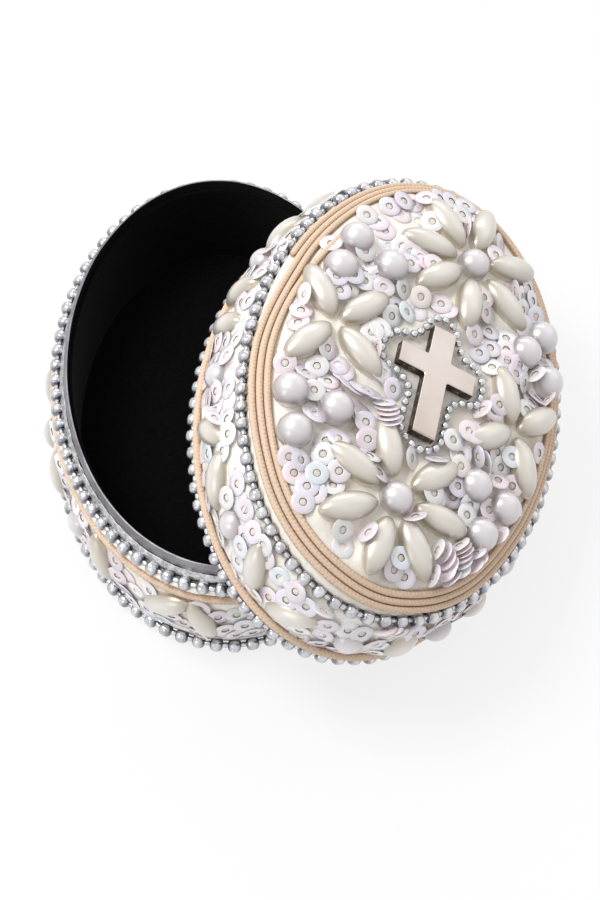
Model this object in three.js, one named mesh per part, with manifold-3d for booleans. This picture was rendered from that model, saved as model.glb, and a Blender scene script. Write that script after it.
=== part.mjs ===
// Oval keepsake box with a pearled lid, shown open: the lid lies beside the base and leans on its rim.
// Lengths are in millimetres. The origin is the centre of the base's underside,
// X runs across the oval, Y along it and Z up.
import * as THREE from 'three';
import Module from 'manifold-3d';

const wasm = await Module();
wasm.setup();

// The oval, at the collar's inner face: every ring of the box lies at an offset from it
const ovalHalfWidth = 27.6;
const ovalHalfLength = 42;
const ringSteps = 48;

// Metal collar, base tin and linings
const collarWall = 0.8;
const collarTopHeight = 23.5;
const baseFit = 0.1;
const baseWall = 0.6;
const baseFloor = 1.2;
const baseWallDrop = 5.8;
const liningThickness = 0.7;
const liningBelowRim = 2;
const floorPadThickness = 1;

// Putty coat on the base's side, from the foot beads up to the rim cord
const baseCoatBulge = 1.7;
const baseCoatEdge = 1.2;
const baseCoatLip = 0.3;
const baseCoatLow = 2.9;
const baseCoatMiddleShare = 0.5;
const baseCoatShoulderDrop = 2.5;

// Silver bead strings
const beadRadius = 1.3;
const beadPitch = 3.2;
const stringRadius = 0.5;
const stringSides = 4;
const rimBeadInset = 0.55;
const rimBeadLift = 1.5;
const footBeadGap = 0.05;

// Waxed cords
const cordRadius = 0.7;
const cordSides = 6;
const cordEndGap = 0.6;
const baseCordDrop = 1;
const baseCordSeat = 0.3;

// Lid shell, in the lid's own frame, whose zero height is the hem beads' middle
const lidClearance = 0.3;
const lidWall = 0.6;
const lidHemDrop = 0.1;
const lidTopHeight = 15.6;
const lidShoulderDrop = 1.8;
const lidShoulderInset = 1.3;
const lidPadThickness = 0.6;
const lidPadInset = 1;
const lidSeat = 0.3;

// Putty coat on the lid's side
const lidCoatLow = 1.45;
const lidCoatLip = 0.8;
const lidCoatLipTop = 3.4;
const lidCoatEdge = 1.5;
const lidCoatBulge = 1.9;
const lidCoatMiddleShare = 0.43;
const lidCoatUpperDrop = 2.7;
const lidCoatTopDrop = 0.7;
const lidCoatCrest = 0.22;
const lidCoatNeck = 0.7;
const hemCordLift = 2.4;
const hemBeadSeat = 0.2;

// Silver beads round the lid's top edge
const topBeadLift = 1.04;
const topBeadOut = 0.92;

// Cord wound three times round the lid's top, on a slope. Each turn steps inside the last at its end
const windingTurns = 3;
const windingSteps = 24;
const windingJogSteps = 2;
const windingRadius = 0.45;
const windingPitch = 1.32;
const windingSlope = THREE.MathUtils.degToRad(37);
const windingStartOut = 1.45;
const windingLift = 3.5;
const windingSeat = 0.5;
const windingRidge = 0.8;

// Putty dome inside the winding
const domeRise = 4;
const topCoatFlank = 1.5;
const topCoatFlankInset = 1.2;

// The pattern of pearls round the cross is drawn for a dome of this width over length,
// and is as large as the dome's width and length let it be: its span is the dome's half width
const patternProportion = 0.635;

// Pearls, as shares of the span
const petalHalfLengthShare = 0.206;
const petalHalfWidthShare = 0.0955;
const petalHalfHeightShare = 0.0895;
const roundPearlRadiusShare = 0.1147;
const smallPearlRadiusShare = 0.1031;
const pearlSeatShare = 0.42;
const pearlSides = 8;
const pearlLatitudeShares = [0, 0.62];
const wideFlowerReachShare = 0.35;
const crossedFlowerReachShare = 0.2528;

// Pearls on the sides, seated in the putty
const sideRoundRadius = 2.7;
const sidePearlHeight = 2.5;
const sidePearlSeatShare = 0.3;
const sidePearlSides = 6;

// Cross and its border of small beads, as shares of the span apart from the cross's thickness and bevel
const crossThickness = 1.8;
const crossArmReachShare = 0.2917;
const crossTopReachShare = 0.3151;
const crossFootReachShare = 0.5406;
const crossArmHalfShare = 0.0798;
const crossStemHalfShare = 0.0875;
const crossFootHalfShare = 0.0895;
const crossBevel = 0.25;
const crossRightShare = 0.0194;
const crossUpShare = 0.0156;
const crossTurn = THREE.MathUtils.degToRad(3);
const borderBeadRadiusShare = 0.0292;
const borderPitchShare = 0.0669;
const borderStringRadiusShare = 0.0117;

// Where the lid lies: its yaw and roll, its middle as shares of the oval's half width and half length,
// and its clearance over the table and the collar's rim, which give its lean and height
const lidYaw = THREE.MathUtils.degToRad(-18.6);
const lidRoll = THREE.MathUtils.degToRad(-1.6);
const lidPlaceShares = [0.83, -0.289];
const lidRestGap = 0.2;
const lidLeanRange = [5, 60].map(THREE.MathUtils.degToRad);
const hemSamples = 1440;
const leanHalvings = 24;

// Sizes worked out from the ones above
const collarOut = collarWall;
const baseWallIn = collarOut + baseFit;
const baseWallOut = baseWallIn + baseWall;
const baseWallHeight = collarTopHeight - baseWallDrop;
const baseCoatIn = baseWallOut + baseFit;
const baseCoatShoulder = baseWallHeight - baseCoatShoulderDrop;
const footBeadHeight = beadRadius + footBeadGap;
const rimBeadOut = baseWallOut + beadRadius - rimBeadInset;
const rimCordOut = baseCoatIn + baseCoatLip + baseCordSeat + cordRadius;
const lidIn = collarOut + lidClearance;
const lidOut = lidIn + lidWall;
const lidCoatIn = lidOut + lidSeat;
const lidTopOut = lidOut - lidShoulderInset;
const lidShoulderStart = lidTopHeight - lidShoulderDrop;
const lidCoatUpper = lidTopHeight - lidCoatUpperDrop;
const lidCoatTop = lidTopHeight - lidCoatTopDrop;
const windingStartHeight = lidTopHeight + windingLift;
const hemBeadOut = lidOut + hemBeadSeat + beadRadius;
const hemCordOut = lidCoatIn + lidCoatLip + lidSeat + cordRadius;
const windingClimb = (windingTurns - 1) * windingPitch;
const windingEndOut = windingStartOut - windingClimb * Math.cos(windingSlope);
const windingEndHeight = windingStartHeight + windingClimb * Math.sin(windingSlope);
const windingFloor = windingRadius + windingSeat;
const domeEdgeOut = windingEndOut - windingFloor * (Math.cos(windingSlope) + Math.sin(windingSlope))
  + windingRidge * Math.sin(windingSlope);
const domeEdgeHeight = windingEndHeight + windingFloor * (Math.sin(windingSlope) - Math.cos(windingSlope))
  + windingRidge * Math.cos(windingSlope);
const domeHalfWidth = ovalHalfWidth + domeEdgeOut;
const domeHalfLength = ovalHalfLength + domeEdgeOut;
const patternSpan = Math.min(domeHalfWidth, domeHalfLength * patternProportion);
const petalHalfLength = petalHalfLengthShare * patternSpan;
const petalHalfWidth = petalHalfWidthShare * patternSpan;
const petalHalfHeight = petalHalfHeightShare * patternSpan;
const roundPearlRadius = roundPearlRadiusShare * patternSpan;
const smallPearlRadius = smallPearlRadiusShare * patternSpan;
const wideFlowerReach = wideFlowerReachShare * patternSpan;
const crossedFlowerReach = crossedFlowerReachShare * patternSpan;
const crossArmReach = crossArmReachShare * patternSpan;
const crossTopReach = crossTopReachShare * patternSpan;
const crossFootReach = crossFootReachShare * patternSpan;
const crossArmHalf = crossArmHalfShare * patternSpan;
const crossStemHalf = crossStemHalfShare * patternSpan;
const crossFootHalf = crossFootHalfShare * patternSpan;
const crossRight = crossRightShare * patternSpan;
const crossUp = crossUpShare * patternSpan;
const borderBeadRadius = borderBeadRadiusShare * patternSpan;
const borderPitch = borderPitchShare * patternSpan;
const borderStringRadius = borderStringRadiusShare * patternSpan;

// Headings of each flower's petals, in degrees round from +X
const petalHeadings = {
  top: [87, 138, 186, 229, 275, 331, 30],
  left: [127, 53, 238, 325],
  bottom: [118, 166, 216, 269, 314, 4, 53],
  right: [123, 223, 50, 304],
};

// Places on the dome, as shares of its half width and half length
const flowerShares = {
  top: [0.104, 0.652],
  left: [-0.705, 0.008],
  bottom: [0.02, -0.637],
  right: [0.7, -0.03],
};
const roundPearlShares = [
  [-0.84, -0.385], [-0.54, -0.387], [-0.735, -0.555],
  [-0.722, 0.471], [-0.775, 0.291], [-0.462, 0.4],
  [0.74, 0.51], [0.63, 0.37], [0.86, 0.31],
  [0.518, -0.393], [0.776, -0.397], [0.665, -0.572],
];

// Pearls on the sides: share of a full turn from +X, share of the coat's height,
// and lean from upright in degrees; a lean of null marks a round pearl
const lidSidePearlShares = [
  [0.02, 0.5, 20], [0.062, 0.45, null], [0.104, 0.55, -60], [0.15, 0.5, null], [0.2, 0.5, -15],
  [0.25, 0.5, null], [0.295, 0.5, 50], [0.337, 0.5, null], [0.374, 0.5, 30], [0.412, 0.45, 80],
  [0.446, 0.6, null], [0.473, 0.5, 0], [0.499, 0.42, -16], [0.537, 0.5, null], [0.575, 0.42, -38],
  [0.608, 0.43, 60], [0.641, 0.46, null], [0.677, 0.6, 33], [0.724, 0.46, -52], [0.778, 0.5, null],
  [0.827, 0.5, 0], [0.866, 0.4, null], [0.902, 0.5, 65], [0.942, 0.5, null], [0.98, 0.5, -35],
];
const baseSidePearlShares = [
  [0.06, 0.5, 30], [0.15, 0.5, null], [0.24, 0.5, -30], [0.33, 0.5, null], [0.42, 0.5, 20],
  [0.474, 0.5, 10], [0.51, 0.5, -10], [0.541, 0.5, 20], [0.583, 0.55, null], [0.619, 0.72, 29],
  [0.686, 0.9, -58], [0.719, 0.68, 24], [0.79, 0.5, null], [0.88, 0.5, 15], [0.95, 0.5, null],
];

// The border's route round the cross, as shares of the reach of the arms, the top and the foot
const borderShares = {
  top: [[0, 1.34], [0.3, 1.2], [0.46, 0.86], [0.72, 0.58], [1.04, 0.55], [1.27, 0.2]],
  foot: [[1.2, -0.17], [0.84, -0.25], [0.56, -0.4], [0.53, -0.72], [0.5, -0.97], [0.2, -1.12],
    [-0.16, -1.12], [-0.5, -0.98], [-0.55, -0.7], [-0.54, -0.42], [-0.86, -0.26], [-1.27, -0.17]],
  back: [[-1.37, 0.12], [-1.08, 0.52], [-0.72, 0.6], [-0.46, 0.88], [-0.32, 1.2]],
};

// Materials, one look for each kind of surface
const looks = {
  tin: { color: 0x8d8b88, roughness: 0.45, metalness: 0.8 },
  collar: { color: 0xa9a8a6, roughness: 0.35, metalness: 1 },
  velvet: { color: 0x0b0b0c, roughness: 1, metalness: 0 },
  putty: { color: 0xe9e2d8, roughness: 0.7, metalness: 0 },
  cord: { color: 0xdcc09a, roughness: 0.75, metalness: 0 },
  silver: { color: 0xb9bcc4, roughness: 0.25, metalness: 1 },
  nickel: { color: 0xcfc0b6, roughness: 0.32, metalness: 1 },
  ivory: { color: 0xeee8da, roughness: 0.22, metalness: 0.05 },
  pearl: { color: 0xe6e3ea, roughness: 0.2, metalness: 0.05 },
};

function namedMesh(name, geometry, look) {
  const mesh = new THREE.Mesh(geometry, new THREE.MeshStandardMaterial(looks[look]));
  mesh.name = name;
  return mesh;
}

// A closed geometry from points and faces, turned so that its faces point out
function closedGeometry(points, faces) {
  let volume = 0;
  for (const [a, b, c] of faces) {
    volume += points[a].dot(new THREE.Vector3().crossVectors(points[b], points[c]));
  }
  const indices = faces.flatMap(([a, b, c]) => (volume > 0 ? [a, b, c] : [a, c, b]));
  const geometry = new THREE.BufferGeometry();
  geometry.setAttribute('position', new THREE.Float32BufferAttribute(points.flatMap((p) => p.toArray()), 3));
  geometry.setIndex(indices);
  geometry.computeVertexNormals();
  return geometry;
}

// Rings of points joined one after another; a ring of one point is a pole
function ringedGeometry(rings, closed) {
  const points = [];
  const starts = rings.map((ring) => {
    points.push(...ring);
    return points.length - ring.length;
  });
  const faces = [];
  const spans = closed ? rings.length : rings.length - 1;
  for (let span = 0; span < spans; span += 1) {
    const next = (span + 1) % rings.length;
    const steps = Math.max(rings[span].length, rings[next].length);
    for (let step = 0; step < steps; step += 1) {
      const [a, b] = [step, step + 1].map((k) => starts[span] + (k % rings[span].length));
      const [d, c] = [step, step + 1].map((k) => starts[next] + (k % rings[next].length));
      if (a !== b) faces.push([a, b, c]);
      if (c !== d) faces.push([a, c, d]);
    }
  }
  return closedGeometry(points, faces);
}

// A profile turned round an oval: rows of offset, height and, for rings inside the oval, a share of its size
function turnedGeometry(rows, halfWidth, halfLength, steps, closed) {
  const rings = rows.map(([offset, height, share = 1]) => {
    if (share === 0) return [new THREE.Vector3(0, 0, height)];
    return Array.from({ length: steps }, (_, step) => {
      const angle = (step / steps) * Math.PI * 2;
      const x = share * (halfWidth + offset) * Math.cos(angle);
      const y = share * (halfLength + offset) * Math.sin(angle);
      return new THREE.Vector3(x, y, height);
    });
  });
  return ringedGeometry(rings, closed);
}

const ovalRing = (rows) => turnedGeometry(rows, ovalHalfWidth, ovalHalfLength, ringSteps, true);
const ovalDisc = (rows) => turnedGeometry(rows, ovalHalfWidth, ovalHalfLength, ringSteps, false);

// Place and outward direction on the oval's ring at an offset and height
function ovalPlace(angle, offset, height) {
  const place = new THREE.Vector3(
    (ovalHalfWidth + offset) * Math.cos(angle),
    (ovalHalfLength + offset) * Math.sin(angle),
    height,
  );
  const outward = new THREE.Vector3(
    Math.cos(angle) / (ovalHalfWidth + offset),
    Math.sin(angle) / (ovalHalfLength + offset),
    0,
  ).normalize();
  return { place, outward, up: new THREE.Vector3(0, 0, 1) };
}

// One ring of a cord or bead string, square to its path
function sectionRing({ place, outward, up }, radius, sides) {
  return Array.from({ length: sides }, (_, side) => {
    const angle = (side / sides) * Math.PI * 2;
    return place.clone()
      .addScaledVector(outward, radius * Math.cos(angle))
      .addScaledVector(up, radius * Math.sin(angle));
  });
}

// An open tube: its end rings close on a point in the middle of each
function cordGeometry(places, radius) {
  const rings = places.map((place) => sectionRing(place, radius, cordSides));
  return ringedGeometry([[places[0].place], ...rings, [places.at(-1).place]], false);
}

// A string of beads: a wide ring at each bead's middle and a narrow one between beads
function beadGeometry(placeAt, count, wide, narrow) {
  const rings = [];
  for (let bead = 0; bead < count; bead += 1) {
    rings.push(sectionRing(placeAt(bead / count), wide, stringSides));
    rings.push(sectionRing(placeAt((bead + 0.5) / count), narrow, stringSides));
  }
  return ringedGeometry(rings, true);
}

// Beads spaced evenly along the oval's ring at an offset
function ovalBeads(offset, height) {
  const curve = new THREE.EllipseCurve(0, 0, ovalHalfWidth + offset, ovalHalfLength + offset);
  const count = Math.round(curve.getLength() / beadPitch);
  const placeAt = (share) => ovalPlace(curve.getUtoTmapping(share) * Math.PI * 2, offset, height);
  return beadGeometry(placeAt, count, beadRadius, stringRadius);
}

// A single cord round the oval, whose ends meet at the back with a small gap
function ovalCord(offset, height) {
  const gapAngle = cordEndGap / (ovalHalfWidth + offset);
  const sweep = Math.PI * 2 - gapAngle;
  const places = Array.from({ length: ringSteps + 1 }, (_, step) => (
    ovalPlace(Math.PI / 2 + gapAngle / 2 + (sweep * step) / ringSteps, offset, height)
  ));
  return cordGeometry(places, cordRadius);
}

// Unions of closed geometries
function toSolid(geometry) {
  const vertProperties = new Float32Array(geometry.attributes.position.array);
  const triVerts = new Uint32Array(geometry.index.array);
  return new wasm.Manifold(new wasm.Mesh({ numProp: 3, vertProperties, triVerts }));
}

function fromSolid(solid) {
  const { numProp, vertProperties, triVerts } = solid.getMesh();
  const points = Array.from({ length: vertProperties.length / numProp }, (_, k) => (
    new THREE.Vector3().fromArray(vertProperties, k * numProp)
  ));
  const faces = Array.from({ length: triVerts.length / 3 }, (_, k) => triVerts.slice(k * 3, k * 3 + 3));
  return closedGeometry(points, faces);
}

function joined(geometries) {
  const solids = geometries.map(toSolid);
  return fromSolid(solids.slice(1).reduce((sum, solid) => sum.add(solid), solids[0]));
}

// A pearl cut flat where it is seated: its long axis is Y and its seat faces down Z
function pearlGeometry(halfWidth, halfLength, halfHeight, seatShare, sides) {
  const rows = [-seatShare, ...pearlLatitudeShares].map((share) => (
    [0, share * halfHeight, Math.sqrt(1 - share ** 2)]
  ));
  const low = -seatShare * halfHeight;
  return turnedGeometry([[0, low, 0], ...rows, [0, halfHeight, 0]], halfWidth, halfLength, sides, false);
}

// The putty dome's height and normal
function domeHeight(x, y) {
  return domeEdgeHeight + domeRise * (1 - (x / domeHalfWidth) ** 2 - (y / domeHalfLength) ** 2);
}

function domeNormal(x, y) {
  const slopeX = (2 * domeRise * x) / domeHalfWidth ** 2;
  const slopeY = (2 * domeRise * y) / domeHalfLength ** 2;
  return new THREE.Vector3(slopeX, slopeY, 1).normalize();
}

// Turns a mesh so that its Z follows the normal and its Y the heading
function orient(mesh, normal, heading) {
  const across = new THREE.Vector3().crossVectors(heading, normal).normalize();
  const along = new THREE.Vector3().crossVectors(normal, across);
  mesh.quaternion.setFromRotationMatrix(new THREE.Matrix4().makeBasis(across, along, normal));
  return mesh;
}

function seatOnDome(mesh, x, y, headingAngle, centreHeight) {
  const normal = domeNormal(x, y);
  const heading = new THREE.Vector3(Math.cos(headingAngle), Math.sin(headingAngle), 0);
  orient(mesh, normal, heading);
  mesh.position.set(x, y, domeHeight(x, y)).addScaledVector(normal, lidSeat + centreHeight);
  return mesh;
}

function roundPearl(name, [xShare, yShare], radius) {
  const mesh = namedMesh(name, pearlGeometry(radius, radius, radius, pearlSeatShare, pearlSides), 'pearl');
  const [x, y] = [xShare * domeHalfWidth, yShare * domeHalfLength];
  return seatOnDome(mesh, x, y, Math.PI / 2, pearlSeatShare * radius);
}

// Petals of oval pearls round a point of the dome
function flower(place, reach) {
  const [xShare, yShare] = flowerShares[place];
  return petalHeadings[place].map((degrees, index) => {
    const angle = THREE.MathUtils.degToRad(degrees);
    const geometry = pearlGeometry(
      petalHalfWidth, petalHalfLength, petalHalfHeight, pearlSeatShare, pearlSides,
    );
    const petal = namedMesh(`flower_${place}_petal_${index + 1}`, geometry, 'ivory');
    const x = xShare * domeHalfWidth + reach * Math.cos(angle);
    const y = yShare * domeHalfLength + reach * Math.sin(angle);
    return seatOnDome(petal, x, y, angle, pearlSeatShare * petalHalfHeight);
  });
}

// A putty coat with its side pearls pressed into it
function coatWithPearls(rows, pearlShares, lowHeight, highHeight, surfaceOut) {
  const pearls = pearlShares.map(([turnShare, heightShare, lean]) => {
    const isRound = lean === null;
    const halfWidth = isRound ? sideRoundRadius : petalHalfWidth;
    const halfLength = isRound ? sideRoundRadius : petalHalfLength;
    const geometry = pearlGeometry(
      halfWidth, halfLength, sidePearlHeight, sidePearlSeatShare, sidePearlSides,
    );
    const height = THREE.MathUtils.lerp(lowHeight, highHeight, heightShare);
    const { place, outward, up } = ovalPlace(turnShare * Math.PI * 2, surfaceOut, height);
    const heading = up.clone().applyAxisAngle(outward, THREE.MathUtils.degToRad(lean ?? 0));
    const pearl = orient(new THREE.Object3D(), outward, heading);
    pearl.position.copy(place);
    pearl.updateMatrix();
    return geometry.applyMatrix4(pearl.matrix);
  });
  return joined([ovalRing(rows), ...pearls]);
}

function baseShell() {
  return namedMesh('base_shell', ovalDisc([
    [0, 0, 0],
    [baseWallOut, 0],
    [baseWallOut, baseWallHeight],
    [baseWallIn, baseWallHeight],
    [baseWallIn, baseFloor],
    [0, baseFloor, 0],
  ]), 'tin');
}

function collar() {
  const foot = baseFloor + baseFit;
  return namedMesh('collar', ovalRing([
    [0, foot], [collarOut, foot], [collarOut, collarTopHeight], [0, collarTopHeight],
  ]), 'collar');
}

function baseLining() {
  const low = baseFloor + baseFit;
  const high = collarTopHeight - liningBelowRim;
  const wallOut = -baseFit;
  const wallIn = wallOut - liningThickness;
  const padOut = wallIn - baseFit;
  return [
    namedMesh('base_lining_wall', ovalRing([
      [wallIn, low], [wallOut, low], [wallOut, high], [wallIn, high],
    ]), 'velvet'),
    namedMesh('base_lining_floor', ovalDisc([
      [0, low, 0], [padOut, low], [padOut, low + floorPadThickness], [0, low + floorPadThickness, 0],
    ]), 'velvet'),
  ];
}

function baseCoat() {
  const lipOut = baseCoatIn + baseCoatLip;
  const edgeOut = baseCoatIn + baseCoatEdge;
  const bulgeOut = baseCoatIn + baseCoatBulge;
  const middle = THREE.MathUtils.lerp(baseCoatLow, baseCoatShoulder, baseCoatMiddleShare);
  const rows = [
    [baseCoatIn, baseCoatLow], [edgeOut, baseCoatLow], [bulgeOut, middle],
    [edgeOut, baseCoatShoulder], [lipOut, baseCoatShoulder], [lipOut, baseWallHeight],
    [baseCoatIn, baseWallHeight],
  ];
  const surface = (edgeOut + bulgeOut) / 2;
  return namedMesh('base_side_coat', coatWithPearls(
    rows, baseSidePearlShares, baseCoatLow + petalHalfWidth, baseCoatShoulder - petalHalfWidth, surface,
  ), 'putty');
}

function lidShell() {
  const ceiling = lidTopHeight - lidWall;
  return namedMesh('lid_shell', ovalDisc([
    [0, lidTopHeight, 0],
    [lidTopOut, lidTopHeight],
    [lidOut, lidShoulderStart],
    [lidOut, -lidHemDrop],
    [lidIn, -lidHemDrop],
    [lidIn, lidShoulderStart - lidWall / 2],
    [lidTopOut - lidWall / 2, ceiling],
    [0, ceiling, 0],
  ]), 'tin');
}

function lidLining() {
  const high = lidTopHeight - lidWall - lidSeat;
  const low = high - lidPadThickness;
  const padOut = lidTopOut - lidPadInset;
  return namedMesh('lid_lining', ovalDisc([
    [0, low, 0], [padOut, low], [padOut, high], [0, high, 0],
  ]), 'velvet');
}

function lidSideCoat() {
  const lipOut = lidCoatIn + lidCoatLip;
  const edgeOut = lidCoatIn + lidCoatEdge;
  const bulgeOut = lidCoatIn + lidCoatBulge;
  const middle = THREE.MathUtils.lerp(lidCoatLow, lidTopHeight, lidCoatMiddleShare);
  const rows = [
    [lidCoatIn, lidCoatLow], [lipOut, lidCoatLow], [lipOut, lidCoatLipTop], [edgeOut, lidCoatLipTop],
    [bulgeOut, middle], [bulgeOut, lidCoatUpper], [edgeOut - lidCoatCrest, lidCoatTop],
    [lidCoatIn, lidCoatTop + lidCoatCrest], [lidCoatIn - lidCoatNeck, lidCoatTop],
    [lidCoatIn, lidShoulderStart],
  ];
  const surface = (edgeOut + bulgeOut) / 2;
  return namedMesh('lid_side_coat', coatWithPearls(
    rows, lidSidePearlShares, lidCoatLipTop + petalHalfWidth, lidCoatUpper, surface,
  ), 'putty');
}

// The coat on the lid's top: a seat for the winding, a small ridge, and the dome inside it
function lidTopCoat() {
  const low = lidTopHeight + lidSeat;
  const seatDown = [windingFloor * Math.sin(windingSlope), windingFloor * Math.cos(windingSlope)];
  const seatOuter = [windingStartOut - seatDown[0], windingStartHeight - seatDown[1]];
  const seatInner = [
    windingEndOut - seatDown[0] - windingFloor * Math.cos(windingSlope),
    windingEndHeight - seatDown[1] + windingFloor * Math.sin(windingSlope),
  ];
  const domeShares = [1, 0.9, 0.75, 0.5, 0.25];
  return namedMesh('lid_top_coat', ovalDisc([
    [0, low, 0],
    [lidTopOut - baseFit, low],
    [topCoatFlankInset, low + topCoatFlank],
    seatOuter,
    seatInner,
    ...domeShares.map((share) => [domeEdgeOut, domeEdgeHeight + domeRise * (1 - share ** 2), share]),
    [0, domeEdgeHeight + domeRise, 0],
  ]), 'putty');
}

// The wound cord: one unbroken tube whose turns lie side by side up the slope
function windingPlaces() {
  const levelSteps = windingSteps - windingJogSteps;
  const steps = windingTurns * windingSteps - windingJogSteps;
  return Array.from({ length: steps + 1 }, (_, step) => {
    const turn = Math.floor(step / windingSteps);
    const jogged = Math.max(0, (step % windingSteps) - levelSteps) / windingJogSteps;
    const climb = (turn + jogged) * windingPitch;
    const angle = Math.PI - (step / windingSteps) * Math.PI * 2;
    return ovalPlace(
      angle,
      windingStartOut - climb * Math.cos(windingSlope),
      windingStartHeight + climb * Math.sin(windingSlope),
    );
  });
}

function leastWindingGap(places) {
  let least = Infinity;
  places.forEach(({ place }, step) => {
    for (let other = step + windingSteps / 2; other < places.length; other += 1) {
      least = Math.min(least, place.distanceTo(places[other].place));
    }
  });
  return least - 2 * windingRadius;
}

function lidWinding() {
  const places = windingPlaces();
  console.log(`least gap of the winding to itself: ${leastWindingGap(places).toFixed(2)} mm`);
  return namedMesh('lid_top_cord', cordGeometry(places, windingRadius), 'cord');
}

// Latin cross, its edges bevelled
function crossShape() {
  const shape = new THREE.Shape();
  shape.moveTo(crossStemHalf, crossTopReach);
  shape.lineTo(-crossStemHalf, crossTopReach);
  shape.lineTo(-crossStemHalf, crossArmHalf);
  shape.lineTo(-crossArmReach, crossArmHalf);
  shape.lineTo(-crossArmReach, -crossArmHalf);
  shape.lineTo(-crossStemHalf, -crossArmHalf);
  shape.quadraticCurveTo(-crossStemHalf, -crossFootReach / 2, -crossFootHalf, -crossFootReach);
  shape.lineTo(crossFootHalf, -crossFootReach);
  shape.quadraticCurveTo(crossStemHalf, -crossFootReach / 2, crossStemHalf, -crossArmHalf);
  shape.lineTo(crossArmReach, -crossArmHalf);
  shape.lineTo(crossArmReach, crossArmHalf);
  shape.lineTo(crossStemHalf, crossArmHalf);
  return shape;
}

function weldedGeometry(geometry) {
  const points = [];
  const keys = new Map();
  const position = geometry.attributes.position;
  const order = Array.from({ length: position.count }, (_, k) => {
    const point = new THREE.Vector3().fromBufferAttribute(position, k);
    const key = point.toArray().map((value) => value.toFixed(4)).join();
    if (!keys.has(key)) {
      keys.set(key, points.length);
      points.push(point);
    }
    return keys.get(key);
  });
  const faces = [];
  for (let corner = 0; corner < order.length; corner += 3) faces.push(order.slice(corner, corner + 3));
  return closedGeometry(points, faces.filter(([a, b, c]) => a !== b && b !== c && a !== c));
}

function cross() {
  const geometry = new THREE.ExtrudeGeometry(crossShape(), {
    depth: crossThickness - crossBevel,
    bevelThickness: crossBevel,
    bevelSize: crossBevel,
    bevelOffset: -crossBevel,
    bevelSegments: 1,
    curveSegments: 4,
  });
  const mesh = namedMesh('cross', weldedGeometry(geometry), 'nickel');
  mesh.rotation.z = crossTurn;
  mesh.position.set(crossRight, crossUp, domeEdgeHeight + domeRise + lidSeat + crossBevel);
  return mesh;
}

function crossBorder() {
  const toPoint = (reach) => ([xShare, yShare]) => (
    new THREE.Vector3(xShare * crossArmReach, yShare * reach, 0)
  );
  const points = [
    ...borderShares.top.map(toPoint(crossTopReach)),
    ...borderShares.foot.map(toPoint(crossFootReach)),
    ...borderShares.back.map(toPoint(crossTopReach)),
  ];
  const curve = new THREE.CatmullRomCurve3(points, true);
  const count = Math.round(curve.getLength() / borderPitch);
  const axis = new THREE.Vector3(0, 0, 1);
  const placeAt = (share) => {
    const place = curve.getPointAt(share).applyAxisAngle(axis, crossTurn);
    const tangent = curve.getTangentAt(share).applyAxisAngle(axis, crossTurn);
    place.x += crossRight;
    place.y += crossUp;
    const up = domeNormal(place.x, place.y);
    place.z = domeHeight(place.x, place.y);
    place.addScaledVector(up, lidSeat + borderBeadRadius);
    return { place, outward: new THREE.Vector3().crossVectors(tangent, up).normalize(), up };
  };
  return beadGeometry(placeAt, count, borderBeadRadius, borderStringRadius);
}

const hemPlaces = (offset, height) => Array.from({ length: hemSamples }, (_, sample) => (
  ovalPlace((sample / hemSamples) * Math.PI * 2, offset, height).place
));

// The lid's place at a lean: its lowest bead stands just clear of the table
function lidPlaceAt(lean) {
  const place = new THREE.Matrix4().makeRotationFromEuler(new THREE.Euler(lidRoll, lean, lidYaw, 'ZYX'));
  const lowest = Math.min(...hemPlaces(hemBeadOut, 0).map((point) => point.applyMatrix4(place).z));
  const [xShare, yShare] = lidPlaceShares;
  const height = lidRestGap + beadRadius - lowest;
  return place.setPosition(xShare * ovalHalfWidth, yShare * ovalHalfLength, height);
}

// How far the lid's hem clears the collar's rim, where it passes over it
function rimClearance(lean) {
  const place = lidPlaceAt(lean);
  const isOverRim = ({ x, y }) => Math.hypot(x / ovalHalfWidth, y / ovalHalfLength) > 1
    && Math.hypot(x / (ovalHalfWidth + collarOut), y / (ovalHalfLength + collarOut)) < 1;
  const overRim = [lidIn, lidOut]
    .flatMap((offset) => hemPlaces(offset, -lidHemDrop))
    .map((point) => point.applyMatrix4(place))
    .filter(isOverRim);
  return Math.min(...overRim.map(({ z }) => z - collarTopHeight));
}

// The least lean at which the hem clears the rim, found by halving the range
function restingLean() {
  let [low, high] = lidLeanRange;
  for (let halving = 0; halving < leanHalvings; halving += 1) {
    const middle = (low + high) / 2;
    if (rimClearance(middle) < lidRestGap) low = middle;
    else high = middle;
  }
  return high;
}

// The base and everything fixed to it
const base = new THREE.Group();
base.add(
  baseShell(),
  collar(),
  ...baseLining(),
  baseCoat(),
  namedMesh('base_rim_cord', ovalCord(rimCordOut, baseWallHeight - baseCordDrop), 'cord'),
  namedMesh('base_rim_beads', ovalBeads(rimBeadOut, baseWallHeight + rimBeadLift), 'silver'),
  namedMesh('base_foot_beads', ovalBeads(baseCoatIn + beadRadius, footBeadHeight), 'silver'),
);

// The lid and everything fixed to it
const lid = new THREE.Group();
lid.add(
  lidShell(),
  lidLining(),
  lidSideCoat(),
  lidTopCoat(),
  namedMesh('lid_hem_beads', ovalBeads(hemBeadOut, 0), 'silver'),
  namedMesh('lid_hem_cord', ovalCord(hemCordOut, hemCordLift), 'cord'),
  namedMesh('lid_top_beads', ovalBeads(lidOut + topBeadOut, lidTopHeight + topBeadLift), 'silver'),
  lidWinding(),
  cross(),
  namedMesh('cross_border', crossBorder(), 'silver'),
  ...flower('top', wideFlowerReach),
  roundPearl('flower_top_centre', flowerShares.top, smallPearlRadius),
  ...flower('left', crossedFlowerReach),
  ...flower('bottom', wideFlowerReach),
  roundPearl('flower_bottom_centre', flowerShares.bottom, smallPearlRadius),
  ...flower('right', crossedFlowerReach),
  ...roundPearlShares.map((shares, index) => (
    roundPearl(`round_pearl_${index + 1}`, shares, roundPearlRadius)
  )),
);
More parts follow.
